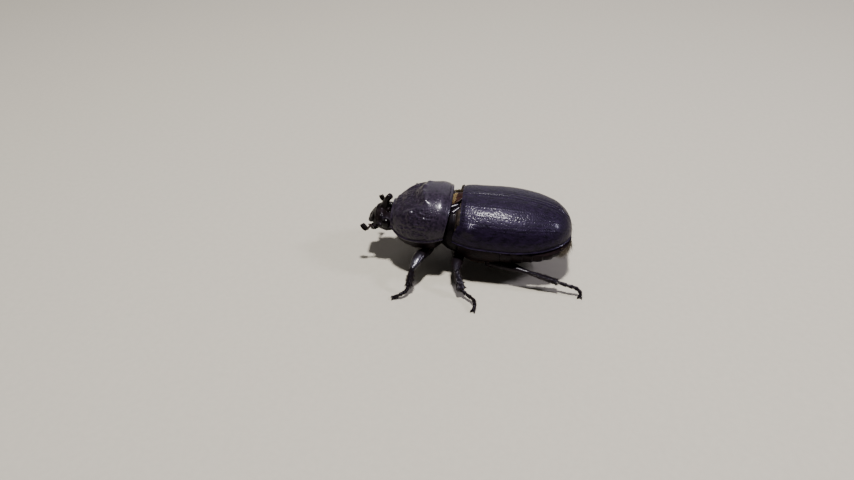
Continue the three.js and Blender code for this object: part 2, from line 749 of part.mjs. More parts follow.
addPart('pronotum', thoraxTop, BLACK);
addPart('prosternum', thoraxFloor, BROWN);
addPart('scutellum', without(shield, thoraxTop, thoraxTop.translate([0, GAP, 0])), BLACK);
addPart('mesothorax', without(waist(), shieldSpace, thoraxTop, thoraxTop.translate([0, GAP, 0]),
  thoraxFloor, thoraxFloor.translate([0, GAP, 0]), ...legCutters('mid')), BROWN, 0.45);
for (const [side, sign] of SIDES) {
  addPart(`elytron_${side}`, without(elytron(sign), shieldSpace), BLACK, 0.38);
}
addPart('metathorax', without(trunk(1.6, 9.9, 4), shieldSpace, ...legCutters('mid'),
  ...legCutters('hind')), BROWN, 0.4);
addPart('abdomen', without(trunk(10.0, 21.5, 6), ...legCutters('hind')), BROWN, 0.4);
addPart('pygidium', trunk(21.6, 23.9, 4), BROWN, 0.4);

for (const name of LEG_NAMES) {
  addPart(`${name}_coxa`, without(coxa(name), femur(name, GAP)), BROWN);
  addPart(`${name}_femur`, without(femur(name), tibia(name, GAP)), BLACK);
  addPart(`${name}_tibia`, without(tibia(name), tarsus(name, GAP)), BLACK);
  addPart(`${name}_tarsus`, tarsus(name), BLACK);
}

// Put the middle of the footprint at the origin with the feet on the floor.
const bounds = new THREE.Box3().setFromObject(group);
const middle = bounds.getCenter(new THREE.Vector3());
for (const node of group.children) node.geometry.translate(-middle.x, -middle.y, -bounds.min.z);

export default group;
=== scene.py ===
"""Rhinoceros beetle, life size: the finished look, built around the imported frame.

Sizes are millimetres in the beetle's own axes: x to its left, y toward its tail, z up,
with y = 0 where the thorax meets the wing cases and z = 0 on the floor.
"""
import math

import bpy
import numpy as np
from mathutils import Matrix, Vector


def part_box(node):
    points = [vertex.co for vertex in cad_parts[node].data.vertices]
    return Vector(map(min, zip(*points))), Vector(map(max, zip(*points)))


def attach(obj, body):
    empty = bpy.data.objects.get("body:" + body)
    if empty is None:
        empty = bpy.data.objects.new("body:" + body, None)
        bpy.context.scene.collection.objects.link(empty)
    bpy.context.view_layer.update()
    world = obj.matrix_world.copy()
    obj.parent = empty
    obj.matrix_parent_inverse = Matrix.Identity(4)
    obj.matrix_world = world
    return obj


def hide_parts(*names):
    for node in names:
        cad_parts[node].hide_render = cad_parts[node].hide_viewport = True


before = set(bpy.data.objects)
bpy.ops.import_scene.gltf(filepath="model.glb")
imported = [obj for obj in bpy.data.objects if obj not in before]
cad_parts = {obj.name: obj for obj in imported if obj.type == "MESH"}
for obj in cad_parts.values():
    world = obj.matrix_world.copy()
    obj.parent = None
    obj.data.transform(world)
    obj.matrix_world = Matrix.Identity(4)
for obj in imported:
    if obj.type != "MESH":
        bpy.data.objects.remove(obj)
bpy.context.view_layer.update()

# ------------------------------------------------------------------ driving sizes

# Wing cases: y, half width, height of the side margin, height of the dome above it.
ELYTRA = [
    (-0.6, 7.60, 8.80, 6.30), (1.5, 8.35, 8.45, 6.90), (5.0, 9.05, 8.00, 7.45),
    (12.0, 9.30, 7.80, 7.60), (18.0, 9.30, 7.90, 7.60), (24.0, 9.30, 8.15, 7.60),
]
ELYTRA_END = 24.0
ELYTRA_POWER = 2.15
ELYTRA_WALL = 0.45
SUTURE_HALF_GAP = 0.012
BASE_AT_SUTURE = 1.8
BASE_AT_MARGIN = 0.4

# Pronotum: y, half width, height of the side margin, height of the top.
PRONOTUM = [
    (-12.4, 3.90, 8.60, 11.70), (-11.2, 5.50, 8.20, 13.10), (-9.2, 7.00, 7.90, 14.60),
    (-6.5, 7.90, 8.00, 15.50), (-4.0, 8.15, 8.30, 15.88), (-2.4, 8.05, 8.70, 15.98),
    (-1.1, 7.80, 9.00, 15.62), (-0.1, 7.50, 9.20, 14.95),
]
PRONOTUM_FRONT = -12.4
PRONOTUM_REAR = -0.1
PRONOTUM_REAR_SWEEP = 1.35
PRONOTUM_POWER = 2.3

# Underside of the prothorax: y, half width, bottom height.
PROSTERNUM = [
    (-12.1, 3.60, 6.30), (-9.8, 6.20, 5.00), (-6.5, 7.30, 3.80), (-3.5, 7.40, 3.80),
    (-1.9, 6.60, 5.00),
]

# Underside behind the waist: y, bottom height.
BELLY = [
    (-0.3, 4.60), (2.0, 2.60), (6.0, 1.50), (10.0, 1.70), (15.0, 2.80), (20.0, 4.20),
    (24.2, 5.40),
]
BELLY_INSET = 0.5
BELLY_END = 24.1

# Waist: y, half width, seam, top, bottom height.
WAIST = [
    (-2.0, 5.60, 8.80, 12.60, 4.60), (-0.6, 6.60, 8.60, 13.50, 3.60),
    (1.5, 7.00, 8.40, 13.80, 2.60),
]

# Head capsule: y, half width, middle, top and bottom height.
HEAD = [
    (-16.3, 2.10, 8.10, 9.95, 7.30), (-15.6, 2.75, 8.20, 10.95, 7.00),
    (-14.6, 3.40, 8.45, 11.15, 6.60), (-13.4, 3.75, 8.65, 10.45, 6.20),
    (-12.2, 3.50, 8.75, 10.15, 6.30), (-10.9, 2.90, 8.80, 10.10, 6.70),
]
EYE_CENTRE = (3.2, -13.45, 8.95)
EYE_RADII = (0.85, 1.0, 1.1)

# ------------------------------------------------------------------ frame

eye_boxes = [np.array(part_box(name)) * 1000 for name in ("eye_left", "eye_right")]
eye_middle = sum(box.mean(axis=0) for box in eye_boxes) / 2
ORIGIN = eye_middle - (0.0, EYE_CENTRE[1], EYE_CENTRE[2])   # beetle's axes to the frame's


# ------------------------------------------------------------------ curves and fields

def along(stations, s):
    """Values at s of a smooth curve through stations (s, a, b, ...) that never overshoots."""
    table = np.asarray(stations, float)
    x, y = table[:, 0], table[:, 1:]
    s = np.clip(np.asarray(s, float), x[0], x[-1])
    step = np.diff(x)[:, None]
    rise = np.diff(y, axis=0) / step
    slope = np.vstack([rise[:1], np.zeros_like(y[1:-1]), rise[-1:]])
    before, after = rise[:-1], rise[1:]
    wa, wb = 2 * step[1:] + step[:-1], step[1:] + 2 * step[:-1]
    turning = before * after <= 0
    safe_before = np.where(turning, 1.0, before)
    safe_after = np.where(turning, 1.0, after)
    slope[1:-1] = np.where(turning, 0.0, (wa + wb) / (wa / safe_before + wb / safe_after))
    k = np.clip(np.searchsorted(x, s, side="right") - 1, 0, len(x) - 2)
    h = step[k, 0][..., None]
    t = (s - x[k])[..., None] / h
    value = (y[k] * (2 * t**3 - 3 * t**2 + 1) + y[k + 1] * (3 * t**2 - 2 * t**3)
             + h * slope[k] * (t**3 - 2 * t**2 + t) + h * slope[k + 1] * (t**3 - t**2))
    return np.moveaxis(value, -1, 0)


def smooth(start, end, x):
    """Soft step from 0 at start to 1 at end."""
    t = np.clip((x - start) / (end - start), 0.0, 1.0)
    return t * t * (3 - 2 * t)


def cap(y, start, end, power):
    """Rounding factor, 1 up to start and falling to 0 at end."""
    t = np.clip((y - start) / (end - start), 0.0, 1.0)
    return (1 - t**power) ** (1 / power)


def bell(x, middle, width):
    """Bump of height 1 at middle."""
    return np.exp(-(((x - middle) / width) ** 2))


def quarter(v, power):
    """Quarter of a superellipse, from straight up at v = 0 to sideways at v = 1."""
    a = v * math.pi / 2
    return np.abs(np.sin(a)) ** (2 / power), np.abs(np.cos(a)) ** (2 / power)


def hashed(i, j, k):
    """Repeatable random number from 0 to 1 for whole-number cells."""
    n = (np.asarray(i, np.int64) * 73856093) ^ (np.asarray(j, np.int64) * 19349663)
    n = (n ^ (np.asarray(k, np.int64) * 83492791)) & 0x7FFFFFFF
    n = ((n ^ (n >> 13)) * 1274126177) & 0x7FFFFFFF
    n = ((n ^ (n >> 11)) * 1103515245 + 12345) & 0x7FFFFFFF
    return (n ^ (n >> 15)) / 0x7FFFFFFF


def ripple(points, size, seed):
    """Smooth random field from -1 to 1 whose features are about `size` across."""
    q = np.asarray(points, float) / size
    base = np.floor(q).astype(np.int64)
    f = q - base
    w = f * f * (3 - 2 * f)
    total = np.zeros(q.shape[:-1])
    for corner in range(8):
        share = np.ones_like(total)
        cell = []
        for axis in range(3):
            high = (corner >> axis) & 1
            share = share * (w[..., axis] if high else 1 - w[..., axis])
            cell.append(base[..., axis] + high)
        total += share * hashed(cell[0], cell[1], cell[2] + 31 * seed)
    return 2 * total - 1


def pits(points, cell, radius, seed):
    """Depth, 0 to 1, of round pits strewn one to a cell of space; few lie square on the
    surface, so their sizes vary."""
    q = np.asarray(points, float) / cell
    base = np.floor(q).astype(np.int64)
    nearest = np.full(q.shape[:-1], 9.0)
    for step in range(27):
        home = base + (step % 3 - 1, step // 3 % 3 - 1, step // 9 - 1)
        i, j, k = (home[..., axis] for axis in range(3))
        far = np.zeros(q.shape[:-1])
        for axis in range(3):
            centre = home[..., axis] + hashed(i, j, k + 977 * (seed * 3 + axis))
            far += (q[..., axis] - centre) ** 2
        nearest = np.minimum(nearest, far)
    return np.clip(1 - nearest * (cell / radius) ** 2, 0, 1) ** 1.5


# ------------------------------------------------------------------ mesh helpers

MM = 0.001                  # one millimetre in the frame's metres
CREASE = math.radians(60)   # an edge sharper than this is drawn crisp
END_RINGS = 6               # rings that round off each end of a limb
END_DOT = 0.04              # its last ring, as a share of the limb's thickness there
POLE_GAP = 0.02             # radians from an ellipsoid's pole to its first ring


def normals_of(grid):
    """Unit normals of a grid of points (rows, columns, 3)."""
    n = np.cross(np.gradient(grid, axis=1), np.gradient(grid, axis=0))
    return n / np.maximum(np.linalg.norm(n, axis=-1, keepdims=True), 1e-9)


def lengths_across(grid, axis):
    """Distance travelled over the grid along an axis."""
    step = np.linalg.norm(np.diff(grid, axis=axis), axis=-1)
    pad = [(0, 0), (0, 0)]
    pad[axis] = (1, 0)
    return np.cumsum(np.pad(step, pad), axis=axis)


def even_rows(grid, rows):
    """The same surface with its rows spaced evenly along every column."""
    travelled = lengths_across(grid, 0)
    out = np.empty((rows,) + grid.shape[1:])
    for c in range(grid.shape[1]):
        want = np.linspace(0, travelled[-1, c], rows)
        for axis in range(3):
            out[:, c, axis] = np.interp(want, travelled[:, c], grid[:, c, axis])
    return out


def mesh_object(name, points, faces, unit=MM):
    """Mesh object from points in millimetres and faces given as lists of point numbers."""
    mesh = bpy.data.meshes.new(name)
    corners = np.concatenate([np.asarray(f, np.int32).ravel() for f in faces])
    counts = np.concatenate([np.full(len(f), np.asarray(f).shape[1]) for f in faces])
    mesh.vertices.add(len(points))
    mesh.vertices.foreach_set("co", (np.asarray(points, float) * unit).ravel())
    mesh.loops.add(len(corners))
    mesh.loops.foreach_set("vertex_index", corners)
    mesh.polygons.add(len(counts))
    mesh.polygons.foreach_set("loop_start", np.concatenate([[0], np.cumsum(counts)[:-1]]))
    mesh.update(calc_edges=True)
    mesh.validate()
    mesh.shade_smooth()
    mesh.set_sharp_from_angle(angle=CREASE)
    item = bpy.data.objects.new(name, mesh)
    bpy.context.scene.collection.objects.link(item)
    return item


def quads_between(rows, cols, wrap=False):
    """Faces of a grid of points; wrap joins the last column to the first."""
    across = cols if wrap else cols - 1
    r, c = np.meshgrid(np.arange(rows - 1), np.arange(across), indexing="ij")
    a = r * cols + c
    b = r * cols + (c + 1) % cols
    return np.stack([a, b, b + cols, a + cols], -1).reshape(-1, 4)


def facing_out(points, faces):
    """The faces turned so that the closed body they bound has them facing outwards."""
    total = 0.0
    for group in faces:
        p = points[group]
        for k in range(1, group.shape[1] - 1):
            total += np.einsum("ij,ij->i", p[:, 0], np.cross(p[:, k], p[:, k + 1])).sum()
    return faces if total > 0 else [group[:, ::-1] for group in faces]


def joined(parts):
    """One set of points and faces from several closed bodies."""
    points, faces, first = [], [], 0
    for part_points, part_faces in parts:
        faces += [group + first for group in facing_out(part_points, part_faces)]
        points.append(part_points)
        first += len(part_points)
    return np.concatenate(points), faces


def sided(body, side):
    """A body made for the left side, or its mirror image if side is -1."""
    points, faces = body
    return points * (side, 1, 1), faces


def tube(rings):
    """Closed body through a stack of rings (rows, columns, 3), with one flat face over
    each end."""
    rows, cols = rings.shape[:2]
    start = np.arange(cols)[None, ::-1]
    end = np.arange(cols)[None, :] + (rows - 1) * cols
    return rings.reshape(-1, 3), [quads_between(rows, cols, wrap=True), start, end]


def outward(rings):
    """Unit normals of a stack of closed rings, looking away from the rings' middles."""
    around = np.roll(rings, -1, axis=1) - np.roll(rings, 1, axis=1)
    n = np.cross(around, np.gradient(rings, axis=0))
    n /= np.maximum(np.linalg.norm(n, axis=-1, keepdims=True), 1e-9)
    away = rings - rings.mean(axis=1, keepdims=True)
    return n * np.sign((n * away).sum(axis=-1, keepdims=True) + 1e-12)


def raised(rings, height):
    """Closed body through the rings, its surface lifted by height all over."""
    return tube(rings + outward(rings) * height[..., None])


def shell(outer, inner, coarse):
    """Closed plate: a fine outer grid, and an inner one that takes every `coarse`-th line."""
    rows, cols = outer.shape[:2]
    sparse = inner[::coarse, ::coarse]
    in_rows, in_cols = sparse.shape[:2]
    first = rows * cols
    number = np.arange(first).reshape(rows, cols)
    inner_number = np.arange(in_rows * in_cols).reshape(in_rows, in_cols) + first
    faces = [quads_between(rows, cols), quads_between(in_rows, in_cols)[:, ::-1] + first]
    rims = [
        (number[0, ::-1], inner_number[0, ::-1]), (number[-1], inner_number[-1]),
        (number[:, 0], inner_number[:, 0]), (number[::-1, -1], inner_number[::-1, -1]),
    ]
    for fine, rough in rims:
        strip = [np.concatenate([fine[k * coarse:(k + 1) * coarse + 1],
                                 rough[k:k + 2][::-1]]) for k in range(len(rough) - 1)]
        faces.append(np.array(strip))
    return np.concatenate([outer.reshape(-1, 3), sparse.reshape(-1, 3)]), faces


def spline_point(points, t):
    """Point at t (0 to 1) of the centripetal curve through the points, and its direction."""
    p = np.asarray(points, float)
    padded = np.vstack([2 * p[0] - p[1], p, 2 * p[-1] - p[-2]])
    place = np.clip(t, 0, 1) * (len(p) - 1)
    k = np.minimum(np.floor(place).astype(int), len(p) - 2)
    w = (place - k)[:, None]
    a, b, c, d = (padded[k + i] for i in range(4))
    gap = [np.maximum(np.linalg.norm(q - r, axis=1, keepdims=True) ** 0.5, 1e-4)
           for q, r in ((b, a), (c, b), (d, c))]
    m1 = (b - a) / gap[0] - (c - a) / (gap[0] + gap[1]) + (c - b) / gap[1]
    m2 = (c - b) / gap[1] - (d - b) / (gap[1] + gap[2]) + (d - c) / gap[2]
    m1, m2 = m1 * gap[1], m2 * gap[1]
    at = (b * (2 * w**3 - 3 * w**2 + 1) + c * (3 * w**2 - 2 * w**3)
          + m1 * (w**3 - 2 * w**2 + w) + m2 * (w**3 - w**2))
    ahead = (b * (6 * w**2 - 6 * w) + c * (6 * w - 6 * w**2)
             + m1 * (3 * w**2 - 4 * w + 1) + m2 * (3 * w**2 - 2 * w))
    return at, ahead / np.linalg.norm(ahead, axis=1, keepdims=True)


def limb_rings(path, sizes, wide, sides=24, spans=24, power=2.0, ends=(0.3, 0.3)):
    """Rings of a smooth limb. `sizes` are (half width, half thickness) evenly along it,
    `wide` is the direction of the width and `ends` how far each end bulges out."""
    t = np.linspace(0, 1, spans + 1)
    at, ahead = spline_point(path, t)
    table = [(i / (len(sizes) - 1),) + tuple(s) for i, s in enumerate(sizes)]
    a, b = along(table, t)
    swell = np.linspace(0, math.pi / 2, END_RINGS + 1)[1:]
    at = np.vstack([at[0] - ahead[0] * (ends[0] * np.sin(swell[::-1]))[:, None], at,
                    at[-1] + ahead[-1] * (ends[1] * np.sin(swell))[:, None]])
    ahead = np.vstack([np.repeat(ahead[:1], END_RINGS, 0), ahead,
                       np.repeat(ahead[-1:], END_RINGS, 0)])
    narrow = np.maximum(np.cos(swell), END_DOT)
    a = np.concatenate([a[0] * narrow[::-1], a, a[-1] * narrow])
    b = np.concatenate([b[0] * narrow[::-1], b, b[-1] * narrow])
    u = np.asarray(wide, float) - ahead * (ahead @ np.asarray(wide, float))[:, None]
    u /= np.linalg.norm(u, axis=1, keepdims=True)
    w = np.cross(ahead, u)
    angle = 2 * math.pi * (np.arange(sides) + 0.5) / sides
    cos, sin = np.cos(angle), np.sin(angle)
    side = np.sign(cos) * np.abs(cos) ** (2 / power)
    lift = np.sign(sin) * np.abs(sin) ** (2 / power)
    return (at[:, None] + a[:, None, None] * side[None, :, None] * u[:, None]
            + b[:, None, None] * lift[None, :, None] * w[:, None])


def limb(*args, **keys):
    """Closed body of a smooth limb, from what limb_rings takes."""
    return tube(limb_rings(*args, **keys))


THORN_TAPER = (1.0, 0.86, 0.62, 0.3, 0.06)


def thorn(base, tip, radius, bend):
    """Pointed tooth or spur, curved toward bend."""
    path = [base, (base + tip) / 2 + bend, tip]
    run = tip - base
    wide = (0, 0, 1) if abs(run[2]) < 0.8 * np.linalg.norm(run) else (1, 0, 0)
    sizes = [(radius * taper, radius * taper) for taper in THORN_TAPER]
    return limb(path, sizes, wide, sides=10, spans=8, ends=(radius * 0.3, 0.01))


def axes_along(run, wide):
    """Three square directions: the wide one, the one across, and the run itself."""
    run = np.asarray(run, float) / np.linalg.norm(run)
    wide = np.asarray(wide, float) - run * (run @ np.asarray(wide, float))
    wide /= np.linalg.norm(wide)
    return np.array([wide, np.cross(run, wide), run])


def ellipsoid(centre, radii, axes=None, around=48, rows=28):
    """Closed ellipsoid with its radii along the rows of `axes`, or along x, y and z."""
    a = np.linspace(POLE_GAP, math.pi - POLE_GAP, rows)[:, None]
    b = np.linspace(0, 2 * math.pi, around, endpoint=False)[None, :]
    unit = np.stack([np.sin(a) * np.cos(b), np.sin(a) * np.sin(b), np.cos(a) + 0 * b], -1)
    axes = np.eye(3) if axes is None else axes
    return tube((unit * np.asarray(radii)) @ axes + np.asarray(centre))


def body_rings(y, high, low, seam, top, bottom, power, columns):
    """Rings of a body along stations y: an upper half of half width `high` up to `top`
    and a lower half of half width `low` down to `bottom`."""
    a = np.linspace(0, 2 * math.pi, columns, endpoint=False)[None, :]
    side = np.sign(np.sin(a)) * np.abs(np.sin(a)) ** (2 / power)
    lift = np.abs(np.cos(a)) ** (2 / power)
    upper = np.cos(a) >= 0
    y, high, low, seam, top, bottom = (np.asarray(q, float)[:, None]
                                       for q in (y, high, low, seam, top, bottom))
    x = side * np.where(upper, high, low)
    z = np.where(upper, seam + (top - seam) * lift, seam - (seam - bottom) * lift)
    return np.stack([x, y + 0 * x, z], -1)


def remeshed(parts, voxel, smoothing):
    """Closed bodies melted into one skin: voxel size in millimetres, then rounds of light
    smoothing. Returns its points, its faces and its outward normals."""
    points, faces = joined(parts)
    rough = mesh_object("rough", points, faces, unit=1.0)
    melt = rough.modifiers.new("melt", "REMESH")
    melt.mode = "VOXEL"
    melt.voxel_size = voxel
    soften = rough.modifiers.new("soften", "SMOOTH")
    soften.iterations = smoothing
    soften.factor = 0.5
    done = bpy.data.meshes.new_from_object(
        rough.evaluated_get(bpy.context.evaluated_depsgraph_get()))
    skin = np.empty(len(done.vertices) * 3)
    done.vertices.foreach_get("co", skin)
    normals = np.empty(len(done.vertices) * 3)
    done.vertices.foreach_get("normal", normals)
    corner = np.empty(len(done.loops), np.int32)
    done.loops.foreach_get("vertex_index", corner)
    counts = np.empty(len(done.polygons), np.int32)
    done.polygons.foreach_get("loop_total", counts)
    starts = np.concatenate([[0], np.cumsum(counts)[:-1]])
    groups = [corner[starts[counts == n][:, None] + np.arange(n)] for n in np.unique(counts)]
    bpy.data.objects.remove(rough)
    bpy.data.meshes.remove(done)
    return skin.reshape(-1, 3), groups, normals.reshape(-1, 3)


def finish_piece(item, nodes, material):
    """Puts a piece in the frame: it rides the one body and stands for its CAD nodes."""
    item.data.materials.append(material)
    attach(item, "root")
    if nodes:
        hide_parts(*nodes)
    return item


def piece(name, body, nodes, material):
    """Piece from a closed body (points, faces) on the beetle's own axes; its nodes are the
    ones it replaces."""
    points, faces = body
    item = mesh_object(name, points + ORIGIN, facing_out(points, faces))
    return finish_piece(item, nodes, material)


# ------------------------------------------------------------------ finishes

def linear(code):
    """Linear colour of an sRGB hex value."""
    channels = [int(code[k:k + 2], 16) / 255 for k in (1, 3, 5)]
    return [c / 12.92 if c <= 0.04045 else ((c + 0.055) / 1.055) ** 2.4
            for c in channels] + [1.0]


def add(tree, kind, settings=(), links=()):
    """Adds a node, sets its options and sockets, and links sockets from other nodes."""
    node = tree.nodes.new(kind)
    for key, value in dict(settings).items():
        if isinstance(key, str) and hasattr(node, key):
            setattr(node, key, value)
        else:
            node.inputs[key].default_value = value
    for key, source in dict(links).items():
        tree.links.new(source, node.inputs[key])
    return node


def per_mm(size):
    """Texture scale whose features are `size` millimetres across."""
    return 1000.0 / size


def finish(name):
    """New material: itself, its node tree, its surface shader and its place on the object."""
    material = bpy.data.materials.new(name)
    material.use_nodes = True
    tree = material.node_tree
    tree.nodes.clear()
    shader = add(tree, "ShaderNodeBsdfPrincipled")
    add(tree, "ShaderNodeOutputMaterial", links={"Surface": shader.outputs["BSDF"]})
    place = add(tree, "ShaderNodeTexCoord").outputs["Object"]
    return material, tree, shader, place


def set_sockets(shader, **values):
    """Sets constants on the shader's own sockets, named with _ for spaces."""
    for key, value in values.items():
        shader.inputs[key.replace("_", " ")].default_value = value


def set_ends(ramp, *ends):
    """Sets the two ends of a colour ramp, each a place on it and an sRGB hex value."""
    for element, (position, code) in zip(ramp.color_ramp.elements, ends):
        element.position = position
        element.color = linear(code)


CLOUD_ENDS = (0.36, 0.68)   # noise values that give a shell's darkest and palest colour
DUST_SIZE = 0.5             # patches of dust that dull the gloss, millimetres
CELL_SIZE = 0.09            # net of cells in the skin, coarser than life so that it shows
DIMPLE_SIZE = 0.22          # fine dimples and scratches of the skin
CELL_SHARE = 0.35           # height of the net next to that of the dimples
SKIN_RELIEF = 0.03 * MM     # height that a bump of 1 stands for


def chitin(name, low, high, rough, coat, tint, patch, relief=0.3, level=0.5, wax=0.13,
           drawn_out=1.0):
    """Sclerotised shell, grown and hardened in one piece, with a net of cells in its skin.

    low and high are its darkest and palest colours, mixed in cloudy patches `patch`
    millimetres across and drawn_out times as long. rough is its (polished, dull)
    roughness, relief how strongly its net of cells stands out, level how bright its gloss
    is and tint that gloss's colour. coat is how much wax film lies over it and wax how
    rough the film is."""
    material, tree, shader, place = finish(name)
    stretched = add(tree, "ShaderNodeVectorMath",
                    {"operation": "MULTIPLY", 1: (1.0, 1.0 / drawn_out, 1.0)}, {0: place})
    cloud = add(tree, "ShaderNodeTexNoise",
                {"Scale": per_mm(patch), "Detail": 5.0, "Roughness": 0.6},
                {"Vector": stretched.outputs[0]})
    colour = add(tree, "ShaderNodeValToRGB", links={"Fac": cloud.outputs["Fac"]})
    set_ends(colour, (CLOUD_ENDS[0], low), (CLOUD_ENDS[1], high))
    dust = add(tree, "ShaderNodeTexNoise",
               {"Scale": per_mm(DUST_SIZE), "Detail": 4.0, "Roughness": 0.65},
               {"Vector": place})
    gloss = add(tree, "ShaderNodeMapRange",
                {"From Min": 0.3, "From Max": 0.7, "To Min": rough[0], "To Max": rough[1]},
                {"Value": dust.outputs["Fac"]})
    net = add(tree, "ShaderNodeTexVoronoi", {"Scale": per_mm(CELL_SIZE)}, {"Vector": place})
    dimples = add(tree, "ShaderNodeTexNoise",
                  {"Scale": per_mm(DIMPLE_SIZE), "Detail": 3.0}, {"Vector": place})
    height = add(tree, "ShaderNodeMath", {"operation": "MULTIPLY_ADD", 1: CELL_SHARE},
                 {0: net.outputs["Distance"], 2: dimples.outputs["Fac"]})
    bump = add(tree, "ShaderNodeBump", {"Strength": relief, "Distance": SKIN_RELIEF},
               {"Height": height.outputs[0]})
    tree.links.new(colour.outputs["Color"], shader.inputs["Base Color"])
    tree.links.new(gloss.outputs["Result"], shader.inputs["Roughness"])
    tree.links.new(bump.outputs["Normal"], shader.inputs["Normal"])
    set_sockets(shader, IOR=1.56, Specular_IOR_Level=level, Specular_Tint=linear(tint),
                Coat_Weight=coat, Coat_Roughness=wax, Coat_IOR=1.5)
    return material


STREAK_SIZE = 0.25          # streaks of colour in a coat, a few setae across


def seta(name, low, high):
    """Bristles of flexible chitin with a soft gloss; they run from the colour low to the
    colour high in streaks."""
    material, tree, shader, place = finish(name)
    streak = add(tree, "ShaderNodeTexNoise",
                 {"Scale": per_mm(STREAK_SIZE), "Detail": 3.0, "Roughness": 0.7},
                 {"Vector": place})
    colour = add(tree, "ShaderNodeValToRGB", links={"Fac": streak.outputs["Fac"]})
    set_ends(colour, (0.3, low), (0.68, high))
    tree.links.new(colour.outputs["Color"], shader.inputs["Base Color"])
    set_sockets(shader, Roughness=0.42, IOR=1.54, Sheen_Weight=0.25, Sheen_Roughness=0.4,
                Sheen_Tint=linear(high))
    return material


FACET_SIZE = 0.07           # facets of the eye, twice their real size so that they show


def eye_chitin():
    """Compound eye: clear hard lenses over black pigment, so a wet black gloss broken by
    the facets."""
    material, tree, shader, place = finish("compound_eye_lenses")
    facets = add(tree, "ShaderNodeTexVoronoi", {"Scale": per_mm(FACET_SIZE)}, {"Vector": place})
    colour = add(tree, "ShaderNodeValToRGB", links={"Fac": facets.outputs["Distance"]})
    set_ends(colour, (0.0, "#0d090b"), (1.0, "#040304"))
    bump = add(tree, "ShaderNodeBump",
               {"invert": True, "Strength": 0.5, "Distance": 0.02 * MM},
               {"Height": facets.outputs["Distance"]})
    tree.links.new(colour.outputs["Color"], shader.inputs["Base Color"])
    tree.links.new(bump.outputs["Normal"], shader.inputs["Normal"])
    set_sockets(shader, Roughness=0.2, IOR=1.56, Specular_IOR_Level=0.1, Coat_Weight=0.12,
                Coat_Roughness=0.06)
    return material


TOOTH_SIZE = 1.2            # faint blotches of the card


def studio_paper():
    """Matt pale card laid under the model; a faint tooth keeps it from looking empty."""
    material, tree, shader, place = finish("pale_studio_card")
    tooth = add(tree, "ShaderNodeTexNoise",
                {"Scale": per_mm(TOOTH_SIZE), "Detail": 6.0}, {"Vector": place})
    colour = add(tree, "ShaderNodeValToRGB", links={"Fac": tooth.outputs["Fac"]})
    set_ends(colour, (0.0, "#a7a295"), (1.0, "#b1ac9e"))
    tree.links.new(colour.outputs["Color"], shader.inputs["Base Color"])
    set_sockets(shader, Roughness=0.8)
    return material


# Thick outer shell of the wing cases: waxy, satin, with a violet cast in its gloss.
WING_CASE_CHITIN = chitin("waxed_black_chitin", "#060409", "#1a1124", (0.38, 0.54), 0.12,
                          "#c5b7e6", patch=0.45, relief=0.4, level=0.16, wax=0.17, drawn_out=3.5)
# Pronotum and wing roots: the same chitin polished by digging, under a thicker wax film,
# so a broad soft violet sheen in which the pits are dark dots.
SHIELD_CHITIN = chitin("polished_black_chitin", "#0d0a11", "#29202d", (0.4, 0.56), 0.5,
                       "#cbbdee", patch=0.5, relief=0.5, level=0.12, wax=0.22)
# Fore thighs: hard black chitin, scuffed by soil but still glossy under its wax.
THIGH_CHITIN = chitin("scuffed_black_chitin", "#060405", "#150f12", (0.34, 0.5), 0.55,
                      "#d4d0f4", patch=1.2, level=0.24, wax=0.22)
# Shins and walking thighs: the same chitin scratched by soil, so less gloss.
SHIN_CHITIN = chitin("scratched_shin_chitin", "#050304", "#130d0f", (0.42, 0.58), 0.16,
                     "#d4ccf4", patch=0.6, relief=0.45, level=0.1, wax=0.18)
# Feet: the same chitin worn dull on the ground.
FOOT_CHITIN = chitin("worn_foot_chitin", "#050303", "#110b0a", (0.46, 0.6), 0.04,
                     "#d4ccf4", patch=0.8, level=0.12)
# Underside plates: thinner, so the red-brown of the chitin shows through; both colours are
# darkened nearly to black, painted shade of the underside.
SHADED_BELLY_CHITIN = chitin("red_brown_chitin_painted_shade", "#060303", "#150a09", (0.4, 0.56), 0.0,
                      "#dccfe8", patch=1.6, level=0.1)
# Head and horn: the same chitin worked rough by digging, so a duller black.
HEAD_CHITIN = chitin("rugged_black_chitin", "#060405", "#140d0b", (0.42, 0.58), 0.16,
                     "#cdbde8", patch=1.2, level=0.07)
# Collar of the waist: black and even, darker and duller than the shields; its dark colour is
# painted shade of the gap between them.
SHADED_COLLAR_CHITIN = chitin("gap_black_chitin_painted_shade", "#040304", "#0c0809", (0.4, 0.55), 0.06,
                       "#dccfe8", patch=1.0, level=0.06)
# Scutellum: thin plate, dark red-brown like an old violin.
SCUTELLUM_CHITIN = chitin("mahogany_chitin", "#170a08", "#3a1f19", (0.34, 0.5), 0.08,
                          "#ffffff", patch=0.9, level=0.14)
# Soft skin between the plates: leathery and dull, brown like old varnish.
JOINT_SKIN = chitin("leathery_joint_skin", "#120d0b", "#3c322b", (0.5, 0.7), 0.04,
                    "#ffffff", patch=0.6, relief=0.5, level=0.16)
# Feeler clubs: finely haired leaves, dark brown and nearly matt.
CLUB_CHITIN = chitin("velvety_club_chitin", "#070404", "#120a08", (0.5, 0.66), 0.0,
                     "#ffffff", patch=0.5, relief=0.5, level=0.1)
# Jaws: dense amber-black chitin, glossy where they bite.
JAW_CHITIN = chitin("amber_black_jaw_chitin", "#120a08", "#2c150d", (0.2, 0.32), 0.4,
                    "#ffffff", patch=0.5, relief=0.15)
# Fringe on the far side of the gap: thin brown setae; their olive is painted light, as if
# shining through them.
BACKLIT_OLIVE_SETA = seta("olive_seta", "#0d0a05", "#4a3c1c")
# Felt of the collar and scutellum: pale, nearly clear setae with a golden gleam.
GOLDEN_SETA = seta("golden_seta", "#4a3218", "#e6d09c")
# Tail brush: long soft setae, dusty and tawny.
TAWNY_SETA = seta("tawny_seta", "#1c150e", "#6c5f4a")
# Underside and mouth: red-brown setae that lie close, like rust on the dark plates; their
# colours are darkened as painted shade of the underside.
SHADED_RUSTY_SETA = seta("rusty_seta", "#190d08", "#4a2c18")
